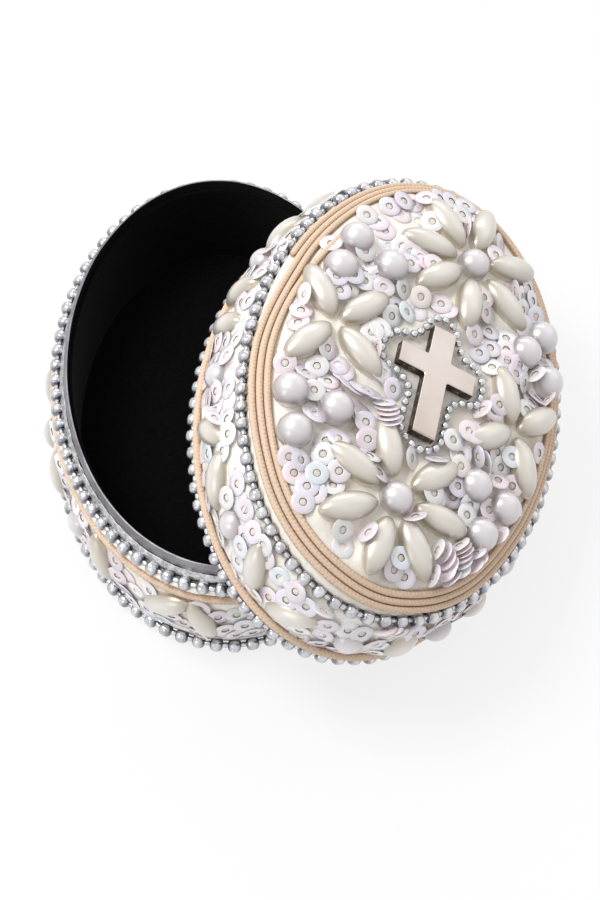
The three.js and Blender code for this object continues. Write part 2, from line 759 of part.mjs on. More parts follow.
lid.applyMatrix4(lidPlaceAt(restingLean()));

const group = new THREE.Group();
group.add(base, lid);
group.updateMatrixWorld(true);
export default group;
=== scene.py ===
import math
import random

import bmesh
import bpy
from mathutils import Euler, Matrix, Vector, noise
from mathutils.bvhtree import BVHTree

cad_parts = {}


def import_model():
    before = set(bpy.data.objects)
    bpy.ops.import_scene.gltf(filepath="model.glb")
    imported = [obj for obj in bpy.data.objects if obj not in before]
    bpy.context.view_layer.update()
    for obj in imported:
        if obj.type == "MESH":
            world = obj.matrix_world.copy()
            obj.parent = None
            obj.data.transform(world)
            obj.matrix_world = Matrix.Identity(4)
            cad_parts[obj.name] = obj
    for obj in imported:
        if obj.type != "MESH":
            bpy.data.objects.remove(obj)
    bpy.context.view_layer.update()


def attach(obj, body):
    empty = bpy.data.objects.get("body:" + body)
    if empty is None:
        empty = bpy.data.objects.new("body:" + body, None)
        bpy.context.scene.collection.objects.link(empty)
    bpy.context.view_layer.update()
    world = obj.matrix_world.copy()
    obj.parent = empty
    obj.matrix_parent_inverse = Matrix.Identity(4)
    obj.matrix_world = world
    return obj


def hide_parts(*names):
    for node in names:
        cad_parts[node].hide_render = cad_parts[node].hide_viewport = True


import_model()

MM = 0.001
TURN = 2 * math.pi
UP = Vector((0, 0, 1))

# The oval, at the collar's inner face
HALF_WIDTH = 27.6 * MM
HALF_LENGTH = 42 * MM

# The lid's place on the table: yaw, lean and roll, and the middle of its hem
LID_TURN = Euler((math.radians(-1.6), math.radians(30.422), math.radians(-18.6)), "XYZ")
LID_PLACE = Vector((22.908, -12.138, 17.134)) * MM
LID = Matrix.Translation(LID_PLACE) @ LID_TURN.to_matrix().to_4x4()

# Base
COLLAR_WALL = 0.8 * MM
COLLAR_TOP = 23.5 * MM
COLLAR_FOOT = 1.3 * MM
COLLAR_EDGE = 0.3 * MM
COLLAR_SLOPE = 0.9 * MM
BASE_WALL_IN = 0.9 * MM
BASE_WALL_OUT = 1.5 * MM
BASE_WALL_TOP = 17.7 * MM
BASE_FLOOR = 1.2 * MM
LINING_TOP = 21.5 * MM
LINING_WALL = 0.7 * MM
PAD_TOP = 2.3 * MM

# Bead strings and cords
BEAD_RADIUS = 1.3 * MM
BEAD_PITCH = 3.2 * MM
CORD_RADIUS = 0.7 * MM
RIM_BEADS = (2.25 * MM, 19.2 * MM)
FOOT_BEADS = (2.9 * MM, 1.35 * MM)
RIM_CORD = (2.9 * MM, 16.7 * MM)
HEM_BEADS = (3.2 * MM, 0.0)
HEM_CORD = (3.8 * MM, 2.4 * MM)
TOP_BEADS = (2.62 * MM, 16.64 * MM)

# Winding on the lid's top
WINDING_TURNS = 3
WINDING_OUTER = (1.45 * MM, 19.1 * MM)
WINDING_STEP = (-1.054 * MM, 0.795 * MM)
WINDING_SEAM = math.radians(163)
WINDING_JOG = 30 / 360
WINDING_TAIL = 14 / 360
WINDING_RADIUS = 0.64 * MM
# How far the hand-laid turns lie out from the even oval, in millimetres, by degrees round from +X
WINDING_WANDER = [
    (0, -0.45), (30, -0.55), (70, -0.6), (105, -0.75), (135, -0.4), (165, 0.15), (195, 0.5), (225, 0.1),
    (260, -0.4), (285, 0), (310, 0.4), (335, -0.25),
]

# Dome of putty inside the winding
DOME_EDGE = (-1.507 * MM, 21.141 * MM)
DOME_RISE = 4 * MM
DOME_WIDTH = HALF_WIDTH + DOME_EDGE[0]
DOME_LENGTH = HALF_LENGTH + DOME_EDGE[0]

# Camera, as fitted to the rings of the photograph
CAMERA_PLACE = Vector((1.118, -287.472, 425.134)) * MM
CAMERA_FORWARD = Vector((0.02388, 0.55504, -0.83148)).normalized()
CAMERA_SIDE = Vector((0.99789, -0.06352, -0.01375))
CAMERA_RIGHT = (CAMERA_SIDE - CAMERA_FORWARD * CAMERA_SIDE.dot(CAMERA_FORWARD)).normalized()
CAMERA_UP = CAMERA_RIGHT.cross(CAMERA_FORWARD)
CAMERA_LENS = 110.84
IMAGE_WIDTH, IMAGE_HEIGHT = 600, 900
SENSOR = 36

rng = random.Random(11)


def link(obj):
    bpy.context.scene.collection.objects.link(obj)
    return obj


# Node materials

class Nodes:
    """Short ways to add nodes to a tree. A key such as i0 is an input's number."""

    def __init__(self, tree):
        self.tree = tree

    def add(self, kind, settings=None, **inputs):
        node = self.tree.nodes.new(kind)
        for key, value in (settings or {}).items():
            setattr(node, key, value)
        for key, value in inputs.items():
            self.feed(node, key.replace("_", " "), value)
        return node

    def feed(self, node, key, value):
        socket = node.inputs[int(key[1:]) if key[1:].isdigit() else key]
        if isinstance(value, bpy.types.NodeSocket):
            self.tree.links.new(value, socket)
        else:
            socket.default_value = value

    def calc(self, operation, first, second, third=0.0):
        node = self.add("ShaderNodeMath", {"operation": operation}, i0=first, i1=second, i2=third)
        return node.outputs[0]

    def background(self):
        """1 for what the camera, a gloss or a glass looks at, and 0 for what lights the object."""
        path = self.add("ShaderNodeLightPath").outputs
        seen = self.calc("MAXIMUM", path["Is Camera Ray"], path["Is Glossy Ray"])
        return self.calc("MAXIMUM", seen, path["Is Transmission Ray"])


class Shader(Nodes):
    """A material with a Principled shader."""

    def __init__(self, name, **values):
        self.material = bpy.data.materials.new(name)
        self.material.use_nodes = True
        super().__init__(self.material.node_tree)
        self.surface = self.tree.nodes["Principled BSDF"]
        for key, value in values.items():
            self.set(key.replace("_", " "), value)

    def place(self, source="Object"):
        return self.add("ShaderNodeTexCoord").outputs[source]

    def island(self):
        return self.add("ShaderNodeNewGeometry").outputs["Random Per Island"]

    def part(self, vector, axis):
        return self.add("ShaderNodeSeparateXYZ", Vector=vector).outputs[axis]

    def scaled(self, vector, scale):
        return self.add("ShaderNodeMapping", Vector=vector, Scale=scale).outputs[0]

    def noise(self, scale, detail=3.0, rough=0.55, stretch=None, vector=None):
        vector = vector or self.place()
        if stretch:
            vector = self.scaled(vector, stretch)
        return self.add("ShaderNodeTexNoise", Vector=vector, Scale=scale, Detail=detail,
                        Roughness=rough).outputs["Fac"]

    def ramp(self, factor, stops):
        node = self.add("ShaderNodeValToRGB", Fac=factor)
        elements = node.color_ramp.elements
        while len(elements) < len(stops):
            elements.new(0.5)
        for element, (position, colour) in zip(elements, stops):
            element.position = position
            element.color = (*colour, 1)
        return node.outputs["Color"]

    def spread(self, factor, low, high):
        return self.add("ShaderNodeMapRange", Value=factor, To_Min=low, To_Max=high).outputs[0]

    def blend(self, factor, first, second, mode="MIX"):
        first, second = (colour if isinstance(colour, bpy.types.NodeSocket) else (*colour, 1)
                         for colour in (first, second))
        return self.add("ShaderNodeMix", {"data_type": "RGBA", "blend_type": mode},
                        i0=factor, i6=first, i7=second).outputs[2]

    def set(self, key, value):
        self.feed(self.surface, key, value)

    def bump(self, height, depth):
        """Relief of a depth in millimetres."""
        self.set("Normal", self.add("ShaderNodeBump", Height=height, Distance=depth * MM).outputs["Normal"])


def grained(name, grain, stops, relief, depth, gloss=None, **values):
    """A material whose colour follows one noise, and whose relief and roughness follow another."""
    shader = Shader(name, **values)
    shader.set("Base Color", shader.ramp(shader.noise(*grain), stops))
    height = shader.noise(*relief)
    if gloss:
        shader.set("Roughness", shader.spread(height, *gloss))
    shader.bump(height, depth)
    return shader.material


def silver_material(name, shaded_and_tarnished):
    """Silvered beads. On a string the ends, where the beads meet, are painted dark: painted shade between
    the beads, and some tarnish at their holes.
    """
    shader = Shader(name, Metallic=0.9)
    colour = shader.ramp(shader.noise(900, 2), [(0.3, (0.48, 0.48, 0.5)), (0.7, (0.76, 0.76, 0.785))])
    # Painted shade: each strung bead's colour is multiplied darker toward both ends, where it meets the next
    # bead.
    if shaded_and_tarnished:
        dark, dull, bright = (0.4, 0.4, 0.42), (0.76, 0.76, 0.78), (1, 1, 1)
        shaded_tarnished_ends = shader.ramp(shader.part(shader.place("UV"), "X"), [
            (0.06, dark), (0.2, dull), (0.34, bright), (0.66, bright), (0.8, dull), (0.94, dark),
        ])
        colour = shader.blend(1.0, colour, shaded_tarnished_ends, "MULTIPLY")
    shader.set("Base Color", colour)
    shader.set("Roughness", shader.spread(shader.noise(1100, 2), 0.12, 0.32))
    shader.bump(shader.noise(1000, 2), 0.14)
    return shader.material


def putty_material(name, deep, pale):
    return grained(name, (180, 4, 0.6), [(0.3, deep), (0.65, pale)], (520, 5, 0.6), 0.3, Roughness=0.55,
                   Subsurface_Weight=0.08, Subsurface_Scale=0.002, Specular_IOR_Level=0.35)


def pearl_material(name, lit_crown, shaded_flank, glowing_foot, metallic):
    """A clear coat over painted shading: painted light at the crown, painted shade greying the flank, and a
    painted creamy glow at the foot by the putty.
    """
    shader = Shader(name, Metallic=metallic, Coat_Weight=0.6, Coat_Roughness=0.14, Coat_IOR=1.5)
    # Painted light and shade: the colour follows how high a point lies in its pearl, pale on top, greyer
    # down the sides, creamy at the putty.
    rise = shader.part(shader.place("UV"), "X")
    painted_pearl_shading = shader.ramp(rise, [(0.5, glowing_foot), (0.64, shaded_flank), (0.95, lit_crown)])
    warm = tuple(channel * share for channel, share in zip(lit_crown, (1.0, 0.96, 0.9)))
    own = shader.spread(shader.island(), 0.0, 0.3)
    shader.set("Base Color", shader.blend(own, painted_pearl_shading, warm, "MULTIPLY"))
    shader.set("Roughness", shader.spread(shader.noise(500, 3), 0.26, 0.4))
    shader.bump(shader.noise(420, 3), 0.03)
    return shader.material


def sequin_material(tint, colour):
    """A thin pearly film whose tint drifts between pink, white and blue."""
    shader = Shader(f"sequins_{tint}", Roughness=0.28, Coat_Weight=0.4, Coat_Roughness=0.1, Metallic=0.15,
                    Specular_IOR_Level=0.6)
    deep, pale = (tuple(channel * share for channel in colour) for share in (0.86, 1.02))
    own = shader.blend(shader.island(), deep, pale)
    drift = shader.ramp(shader.noise(240, 2), [
        (0.3, (0.95, 0.78, 0.86)), (0.45, (0.97, 0.95, 0.97)), (0.55, (0.82, 0.9, 0.97)),
        (0.7, (0.98, 0.9, 0.86)),
    ])
    shader.set("Base Color", shader.blend(shader.spread(shader.noise(400, 2), 0.0, 0.6), own, drift))
    shader.bump(shader.noise(900, 2), 0.02)
    return shader.material


CORD_TOUCH = 0.397  # where the next turn of the winding touches, as a share of the way round the cord


def cord_material():
    """Waxed braid: crossed strands, brown streaks, pale fibres, and painted shade where two turns touch."""
    shader = Shader("waxed_cord", Roughness=0.62, Sheen_Weight=0.2, Sheen_Roughness=0.4)
    uv = shader.place("UV")
    crossed = [shader.add("ShaderNodeTexWave", {"bands_direction": "DIAGONAL"}, Scale=0.85, Distortion=2.0,
                          Detail=2.0, Vector=shader.scaled(uv, (1, lay, 1))).outputs["Fac"]
               for lay in (1.4, -1.4)]
    plait = shader.calc("MAXIMUM", *crossed)
    fibre = shader.noise(1500, 4, 0.65)
    streaks = shader.noise(1, 3, 0.6, (1.3, 16, 1), uv)
    tone = shader.blend(plait, (0.55, 0.38, 0.25), (0.76, 0.55, 0.39))
    tone = shader.blend(shader.spread(streaks, -0.4, 0.7), tone, (0.56, 0.36, 0.22))
    tone = shader.blend(shader.spread(fibre, 0.0, 0.5), tone, (0.93, 0.77, 0.62))
    # Painted shade: the colour darkens toward the two sides where the neighbouring turns touch, inward and
    # up, and outward and down.
    phase = shader.calc("MULTIPLY_ADD", shader.part(uv, "Y"), 2 * TURN, -2 * TURN * CORD_TOUCH)
    contact_shade = shader.ramp(shader.calc("COSINE", phase, 0), [(0.2, (0, 0, 0)), (0.9, (1, 1, 1))])
    shader.set("Base Color", shader.blend(contact_shade, tone, (0.36, 0.22, 0.12)))
    shader.bump(shader.calc("ADD", plait, fibre), 0.06)
    return shader.material


SILVER = silver_material("silver_beads", False)
STRUNG = silver_material("strung_beads", True)
COLLAR = grained("collar_metal", (160, 4, 0.6), [(0.35, (0.2, 0.19, 0.205)), (0.65, (0.31, 0.3, 0.315))],
                 (500, 4, 0.6, (1, 1, 14)), 0.03, (0.3, 0.52), Metallic=1)
# Painted reflection: the collar's bare metal inner face, coloured near black for the black velvet that it
# mirrors.
COLLAR_INSIDE_REFLECTION = grained("collar_inside_painted_reflection", (220, 3), [(0.3, (0.002, 0.002, 0.002)), (0.7, (0.005, 0.005, 0.005))],
               (600, 3), 0.03, Roughness=0.5, Coat_Weight=0.1)
FILLET = grained("silver_fillet", (900, 5, 0.7), [(0.35, (0.3, 0.3, 0.3)), (0.6, (0.66, 0.66, 0.67))],
                 (900, 5, 0.7), 0.25, (0.2, 0.5), Metallic=1)
VELVET = grained("black_velvet", (1400, 4, 0.7), [
    (0.3, (0.001, 0.001, 0.001)), (0.75, (0.004, 0.004, 0.0045)),
], (1400, 4, 0.7), 0.2, Roughness=1, Sheen_Weight=0.035, Sheen_Roughness=0.5, Specular_IOR_Level=0.07)
PUTTY = putty_material("putty", (0.96, 0.89, 0.8), (0.98, 0.94, 0.87))
# Painted shade: the glue in the sequins' holes is a darker putty, for the shade in each hole.
SHADED_GLUE_DOTS = putty_material("glue", (0.74, 0.65, 0.57), (0.84, 0.77, 0.7))
# Each pearl: its crown with painted light, its flank with painted shade, its foot with a painted creamy
# glow, and how metallic it is.
PEARL_TONES = {
    "ivory_pearl": ((0.78, 0.745, 0.69), (0.47, 0.425, 0.36), (0.74, 0.68, 0.56), 0.42),
    "round_pearl": ((0.78, 0.745, 0.76), (0.47, 0.445, 0.46), (0.68, 0.64, 0.63), 0.46),
}
PEARLS = {slot: pearl_material(slot, *tones) for slot, tones in PEARL_TONES.items()}
SEQUIN_COLOURS = {
    "white": (0.93, 0.9, 0.91), "pink": (0.9, 0.76, 0.8), "lilac": (0.81, 0.74, 0.83),
    "mauve": (0.74, 0.64, 0.69), "grey": (0.8, 0.78, 0.77), "blue": (0.79, 0.88, 0.92),
    "peach": (0.94, 0.81, 0.73),
}
SEQUINS = {tint: sequin_material(tint, colour) for tint, colour in SEQUIN_COLOURS.items()}
CORD = cord_material()
CROSS = grained("cross_metal", (90, 3), [(0.3, (0.55, 0.47, 0.42)), (0.7, (0.68, 0.61, 0.57))],
                (500, 4, 0.6, (1, 9, 1)), 0.03, (0.26, 0.42), Metallic=1)
PATINA = grained("cross_patina", (800, 5, 0.7), [
    (0.35, (0.02, 0.015, 0.012)), (0.55, (0.1, 0.07, 0.05)), (0.75, (0.5, 0.45, 0.4)),
], (800, 5, 0.7), 0.3, Metallic=0.7, Roughness=0.55)
TIN = grained("tin", (120, 4), [(0.3, (0.3, 0.29, 0.285)), (0.7, (0.42, 0.41, 0.4))], (400, 4), 0.05,
              Metallic=0.6, Roughness=0.45)


# Meshes

def mesh_from(name, points, faces, uvs=None):
    """A mesh whose faces look outward."""
    mesh = bpy.data.meshes.new(name)
    mesh.from_pydata([tuple(point) for point in points], [], faces)
    if uvs:
        layer = mesh.uv_layers.new(name="UVMap")
        for loop in mesh.loops:
            layer.data[loop.index].uv = uvs[loop.vertex_index]
    mesh.validate()
    edit = bmesh.new()
    edit.from_mesh(mesh)
    bmesh.ops.recalc_face_normals(edit, faces=edit.faces)
    edit.to_mesh(mesh)
    edit.free()
    return mesh


def finish_piece(name, mesh, materials, body, nodes=(), slot=None, smooth=True):
    """A piece on its body, in the lid's place if it is on the lid, standing for its nodes."""
    if body == "lid":
        mesh.transform(LID)
    for material in materials:
        mesh.materials.append(material)
    if smooth:
        mesh.shade_smooth()
    mesh.update()
    obj = link(bpy.data.objects.new(name, mesh))
    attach(obj, body)
    if nodes:
        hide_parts(*nodes)
    return obj


def piece(name, shape, material, body, nodes=(), slot=None, smooth=True):
    """A piece of one material from its points, faces and UVs."""
    return finish_piece(name, mesh_from(name, *shape), [material], body, nodes, slot, smooth)


def oval_place(angle, offset, height):
    across, along = (HALF_WIDTH + offset) * math.cos(angle), (HALF_LENGTH + offset) * math.sin(angle)
    return Vector((across, along, height))


def oval_outward(angle, offset=0.0):
    across, along = math.cos(angle) / (HALF_WIDTH + offset), math.sin(angle) / (HALF_LENGTH + offset)
    return Vector((across, along, 0)).normalized()


def skin(rings, closed=False):
    """The faces between rings of point numbers. A ring of one point is a tip."""
    faces = []
    for low, high in zip(rings, rings[1:] + (rings[:1] if closed else [])):
        sides = max(len(low), len(high))
        for side in range(sides):
            after = (side + 1) % sides
            corners = (low[side % len(low)], low[after % len(low)], high[after % len(high)],
                       high[side % len(high)])
            faces.append(tuple(dict.fromkeys(corners)))
    return faces


def turned(rows, steps=192, closed=False, shift=None):
    """Rows of offset, height and share swept round the oval. A share of 0 is a point on the axis."""
    points, rings = [], []
    for row_index, (offset, height, share) in enumerate(rows):
        start = len(points)
        for step in range(steps if share else 1):
            angle = step / steps * TURN
            spot = oval_place(angle, offset, height)
            point = Vector((spot.x * share, spot.y * share, height))
            points.append(shift(point, row_index, angle) if shift and share else point)
        rings.append(range(start, len(points)))
    return points, skin(rings, closed)


def lathe(rows, segments, closed=False):
    """Rows of radius and height turned round Z. A radius of 0 is a tip. Open ones list faces by segment."""
    points, rings = [], []
    for radius, height in rows:
        start = len(points)
        for step in range(segments if radius else 1):
            angle = step / segments * TURN
            points.append(Vector((radius * math.cos(angle), radius * math.sin(angle), height)))
        rings.append(range(start, len(points)))
    faces = skin(rings, closed)
    if not closed:
        faces = [face for segment in range(segments) for face in faces[segment::segments]]
    return points, faces


def in_mm(rows):
    """Rows whose offsets and heights are in millimetres. A third value, the share, stays."""
    return [(row[0] * MM, row[1] * MM, *row[2:]) for row in rows]


def moulding(rows, radius, steps=192, shift=None):
    """A closed profile of offsets and heights, its corners rounded, swept round the oval."""
    profile = []
    for index, row in enumerate(rows):
        corner = Vector(row)
        before = Vector(rows[index - 1]) - corner
        after = Vector(rows[(index + 1) % len(rows)]) - corner
        reach = min(radius, before.length / 2.2, after.length / 2.2)
        start, end = corner + before.normalized() * reach, corner + after.normalized() * reach
        for share in (0, 1 / 3, 2 / 3, 1):
            offset, height = start * (1 - share) ** 2 + corner * 2 * share * (1 - share) + end * share ** 2
            profile.append((offset, height, 1))
    return turned(profile, steps, True, shift)


BRAID_PITCH = 1.1 * MM
BRAID_STRANDS = 4
BRAID_DEPTH = 0.025


def braid(along, turn):
    """How far a braided cord's surface swells over its mean, as a share of its radius."""
    wave = math.cos(along / BRAID_PITCH * TURN) * math.cos(turn * BRAID_STRANDS * TURN)
    return 1 + BRAID_DEPTH * wave


def cord_tube(frames, radius, sides=16):
    """A braided tube through frames of place and outward, with a UV in millimetres along and turns round."""
    points, uvs = [], []
    along = 0.0
    for index, (place, outward) in enumerate(frames):
        if index:
            along += (place - frames[index - 1][0]).length
        for side in range(sides):
            angle = side / sides * TURN
            reach = radius * braid(along, side / sides)
            points.append(place + outward * reach * math.cos(angle) + UP * reach * math.sin(angle))
            uvs.append((along / MM, side / sides))
    rings = [range(start, start + sides) for start in range(0, len(points), sides)]
    return points, skin(rings) + [tuple(rings[0]), tuple(rings[-1])], uvs


def unit_sphere(segments, rings):
    rows = [(math.sin(math.pi * row / rings), -math.cos(math.pi * row / rings)) for row in range(1, rings)]
    return lathe([(0, -1), *rows, (0, 1)], segments)


def barrel(segments, rings, squareness):
    """A sphere squared off toward a barrel along its axis."""
    points, faces = unit_sphere(segments, rings)
    out = []
    for point in points:
        reach = math.hypot(point.x, point.y)
        wider = reach ** squareness / reach if reach > 1e-6 else 1
        height = math.copysign(abs(point.z) ** squareness, point.z)
        out.append(Vector((point.x * wider, point.y * wider, height)))
    return out, faces


BEAD_SHAPE = barrel(18, 12, 0.78)
LINK_SHAPE = unit_sphere(8, 6)


class Heap:
    """Many small copies gathered in one shape, with how high each point lay in its copy as a UV."""

    def __init__(self):
        self.points, self.faces, self.rises = [], [], []

    def add(self, shape, matrix):
        start = len(self.points)
        self.points.extend(matrix @ point for point in shape[0])
        self.rises.extend((0.5 + 0.5 * point.z, 0.5) for point in shape[0])
        self.faces.extend(tuple(start + index for index in face) for face in shape[1])

    def shape(self, risen=False):
        return self.points, self.faces, self.rises if risen else None


def basis(along, across, normal, place, scale=(1, 1, 1)):
    matrix = Matrix((across * scale[0], along * scale[1], normal * scale[2])).transposed().to_4x4()
    matrix.translation = place
    return matrix


def seated(place, normal, heading, size=(1, 1, 1)):
    """The matrix of a copy that stands on a normal and points along a heading."""
    across = heading.cross(normal).normalized()
    return basis(normal.cross(across), across, normal, place, size)


# Bead strings

OVAL_STEPS = 2880
LINK_RADIUS = 0.52 * MM
LINK_SHARE = 0.34


def spaced(path, pitch):
    """Even steps round a closed path: each one's stretch of the path, and the share of it that is gone."""
    lengths = [0.0]
    for index, place in enumerate(path):
        lengths.append(lengths[-1] + (path[(index + 1) % len(path)] - place).length)
    count = round(lengths[-1] / pitch)
    steps, index = [], 0
    for number in range(count):
        goal = lengths[-1] * number / count
        while lengths[index + 1] < goal:
            index += 1
        steps.append((index, (goal - lengths[index]) / (lengths[index + 1] - lengths[index])))
    return steps


def bead_string(name, offset, height, body, node):
    oval = [oval_place(step / OVAL_STEPS * TURN, offset, 0) for step in range(OVAL_STEPS)]
    beads, links, places = Heap(), Heap(), []
    for index, share in spaced(oval, BEAD_PITCH):
        angle = (index + share) / OVAL_STEPS * TURN
        jitter = rng.uniform(-0.1, 0.1) * MM
        place = oval_place(angle, offset + jitter, height + rng.uniform(-0.04, 0.08) * MM)
        outward = oval_outward(angle, offset)
        swing = Matrix.Rotation(rng.uniform(-0.2, 0.2), 3, UP)
        tilt = swing @ Matrix.Rotation(rng.uniform(-0.15, 0.15), 3, outward)
        size = BEAD_RADIUS * rng.uniform(0.94, 1)
        along = tilt @ UP.cross(outward)
        beads.add(BEAD_SHAPE, basis(tilt @ outward, tilt @ UP, along, place, (size, size, size * 0.94)))
        places.append(place)
    piece(name, beads.shape(True), STRUNG, body, [node], "silver_beads")
    for place, following in zip(places, places[1:] + places[:1]):
        along = following - place
        size = (LINK_RADIUS, LINK_RADIUS, along.length * LINK_SHARE)
        along.normalize()
        outward = along.cross(UP).normalized()
        links.add(LINK_SHAPE, basis(outward, outward.cross(along), along, (place + following) / 2, size))
    piece(name + "_links", links.shape(), SILVER, body, (), "silver_beads")


# Stage, camera and lights

FLOOR_GLOW = 0.8
BRIGHT_SIDE = (-0.5, 0.86, 0)
LIGHT_TARGET = Vector((0.008, -0.002, 0.015))


def stage():
    """A pale floor. Where it is seen directly or in a gloss it glows almost white."""
    bpy.ops.mesh.primitive_plane_add(size=6, location=(0, 0, 0))
    floor = bpy.context.object
    floor.name = "floor"
    material = bpy.data.materials.new("pale_floor")
    material.use_nodes = True
    nodes = Nodes(material.node_tree)
    nodes.tree.nodes.clear()
    diffuse = nodes.add("ShaderNodeBsdfDiffuse", Color=(0.86, 0.86, 0.87, 1))
    glow = nodes.add("ShaderNodeEmission", Color=(1, 1, 1, 1))
    part = nodes.calc("MULTIPLY", nodes.background(), FLOOR_GLOW)
    mix = nodes.add("ShaderNodeMixShader", i0=part, i1=diffuse.outputs[0], i2=glow.outputs[0])
    nodes.add("ShaderNodeOutputMaterial", i0=mix.outputs[0])
    floor.data.materials.append(material)


def world():
    """Surroundings that give more light from their bright side, and are white where they are seen."""
    scene_world = bpy.data.worlds.new("studio")
    bpy.context.scene.world = scene_world
    scene_world.use_nodes = True
    nodes = Nodes(scene_world.node_tree)
    toward = nodes.add("ShaderNodeTexCoord").outputs["Generated"]
    way = nodes.add("ShaderNodeVectorMath", {"operation": "DOT_PRODUCT"}, i0=toward, i1=BRIGHT_SIDE)
    slope = nodes.add("ShaderNodeMapRange", Value=way.outputs[1], From_Min=-1, To_Min=0.35, To_Max=0.93)
    mix = nodes.add("ShaderNodeMapRange", Value=nodes.background(), To_Min=slope.outputs[0], To_Max=1)
    background = nodes.tree.nodes["Background"]
    nodes.feed(background, "Color", (1, 1, 1, 1))
    nodes.feed(background, "Strength", mix.outputs[0])


def softbox(name, place, size, power):
    data = bpy.data.lights.new(name, "AREA")
    data.shape = "RECTANGLE"
    data.size, data.size_y = size
    data.energy = power
    lamp = link(bpy.data.objects.new(name, data))
    lamp.location = place
    lamp.rotation_euler = (LIGHT_TARGET - Vector(place)).to_track_quat("-Z", "Y").to_euler()


def camera():
    data = bpy.data.cameras.new("camera")
    data.sensor_fit = "VERTICAL"
    data.sensor_height = SENSOR
    data.lens = CAMERA_LENS
    data.clip_start = 0.01
    obj = link(bpy.data.objects.new("camera", data))
    obj.matrix_world = basis(CAMERA_UP, CAMERA_RIGHT, -CAMERA_FORWARD, CAMERA_PLACE)
    bpy.context.scene.camera = obj


def pixel_ray(u, v):
    """The way the camera looks through a pixel of the photograph."""
    focal = CAMERA_LENS / SENSOR * IMAGE_HEIGHT
    ray = CAMERA_FORWARD + CAMERA_RIGHT * (u - IMAGE_WIDTH / 2) / focal
    return (ray - CAMERA_UP * (v - IMAGE_HEIGHT / 2) / focal).normalized()


stage()
world()
camera()
softbox("key", (-0.33, 0.1, 0.72), (0.34, 0.34), 3.6)
softbox("fill", (-0.5, -0.45, 0.35), (0.3, 0.3), 0.45)
softbox("back_strip", (0.1, 0.7, 0.5), (0.6, 0.2), 1)
softbox("right_card", (0.55, 0.3, 0.36), (0.5, 0.5), 0.25)
bpy.context.scene.view_settings.view_transform = "Standard"


# Base

# What the sequins are laid on: each list holds shapes in its body's own place, the coat first
TOP_SURFACES = []
LID_SURFACES = []
BASE_SURFACES = []

COAT_STEPS = 300
COAT_LUMP = 0.25 * MM
COAT_GRAIN = 260
CORD_STEPS = 1800
CORD_GAP = 0.01  # the angle between a cord's two ends, in radians


def lumps(seed):
    """Shifts points in and out by noise, as putty spread by hand."""
    offset = Vector((seed, seed * 1.7, seed * 0.3))

    def shift(point, row_index, angle):
        outward = Vector((point.x, point.y, 0)).normalized()
        return point + outward * noise.noise(point * COAT_GRAIN + offset) * COAT_LUMP

    return shift


def side_coat(name, rows, seed, body, node, surfaces):
    """The putty round a side."""
    shape = moulding(in_mm(rows), 0.4 * MM, COAT_STEPS, lumps(seed))
    surfaces.append(shape)
    piece(name, shape, PUTTY, body, [node], "putty")


def base_shell():
    rows = [(0, 0, 0), (BASE_WALL_OUT - 0.3 * MM, 0, 1), (BASE_WALL_OUT, 0.3 * MM, 1),
            (BASE_WALL_OUT, BASE_WALL_TOP, 1), (BASE_WALL_IN, BASE_WALL_TOP, 1),
            (BASE_WALL_IN, BASE_FLOOR, 1), (0, BASE_FLOOR, 0)]
    piece("base_tin", turned(rows), TIN, "base", ["base_shell"], "tin", False)


def collar():
    """A metal ring, a little dented, whose inner face is painted near black as a painted reflection of the
    black lining.
    """
    def dent(point, row_index, angle):
        wave = noise.noise(Vector((math.cos(angle), math.sin(angle), 0)) * 4)
        return point + oval_outward(angle) * wave * 0.08 * MM

    rows = [(0, COLLAR_FOOT), (COLLAR_WALL, COLLAR_FOOT), (COLLAR_WALL, COLLAR_TOP - COLLAR_SLOPE),
            (COLLAR_EDGE, COLLAR_TOP), (0, COLLAR_TOP)]
    mesh = mesh_from("metal_collar", *moulding(rows, 0.12 * MM, shift=dent))
    finish_piece("metal_collar", mesh, [COLLAR, COLLAR_INSIDE_REFLECTION], "base", ["collar"], "collar_metal")
    # Faces that look inward get the painted reflection.
    for polygon in mesh.polygons:
        outward = Vector((polygon.center.x, polygon.center.y, 0)).normalized()
        polygon.material_index = 1 if polygon.normal.dot(outward) < -0.7 else 0


def collar_fillet():
    """The rough silver seam where the collar stands in the rim beads."""
    def rough(point, row_index, angle):
        wave = noise.noise(point * 900) * 0.14 + noise.noise(point * 260) * 0.14
        return point + (oval_outward(angle) + UP) * wave * MM

    rows = in_mm([(0.82, 19.9), (1.55, 19.9), (1.42, 20.7), (0.92, 21.4), (0.82, 21.4)])
    piece("collar_fillet", moulding(rows, 0.2 * MM, 420, rough), FILLET, "base", (), "collar_metal")


def base_lining():
    wall_out = -0.05 * MM
    wall_in = wall_out - LINING_WALL
    rows = [(wall_in, COLLAR_FOOT), (wall_out, COLLAR_FOOT), (wall_out, LINING_TOP), (wall_in, LINING_TOP)]
    piece("velvet_wall", moulding(rows, 0.3 * MM), VELVET, "base", ["base_lining_wall"], "velvet")
    pad = wall_in - 0.02 * MM
    rows = [(0, COLLAR_FOOT, 0), (pad, COLLAR_FOOT, 1), (pad, PAD_TOP - 0.3 * MM, 1),
            (pad - 0.3 * MM, PAD_TOP, 1), (pad, PAD_TOP, 0.6), (0, PAD_TOP, 0)]
    piece("velvet_floor", turned(rows), VELVET, "base", ["base_lining_floor"], "velvet")


def oval_cord(name, offset, height, body, node):
    """One turn of cord that starts and ends at the back."""
    start, sweep = math.pi / 2 + CORD_GAP / 2, TURN - CORD_GAP
    angles = [start + sweep * step / CORD_STEPS for step in range(CORD_STEPS)]
    frames = [(oval_place(angle, offset, height), oval_outward(angle, offset)) for angle in angles]
    piece(name, cord_tube(frames, CORD_RADIUS), CORD, body, [node], "waxed_cord")


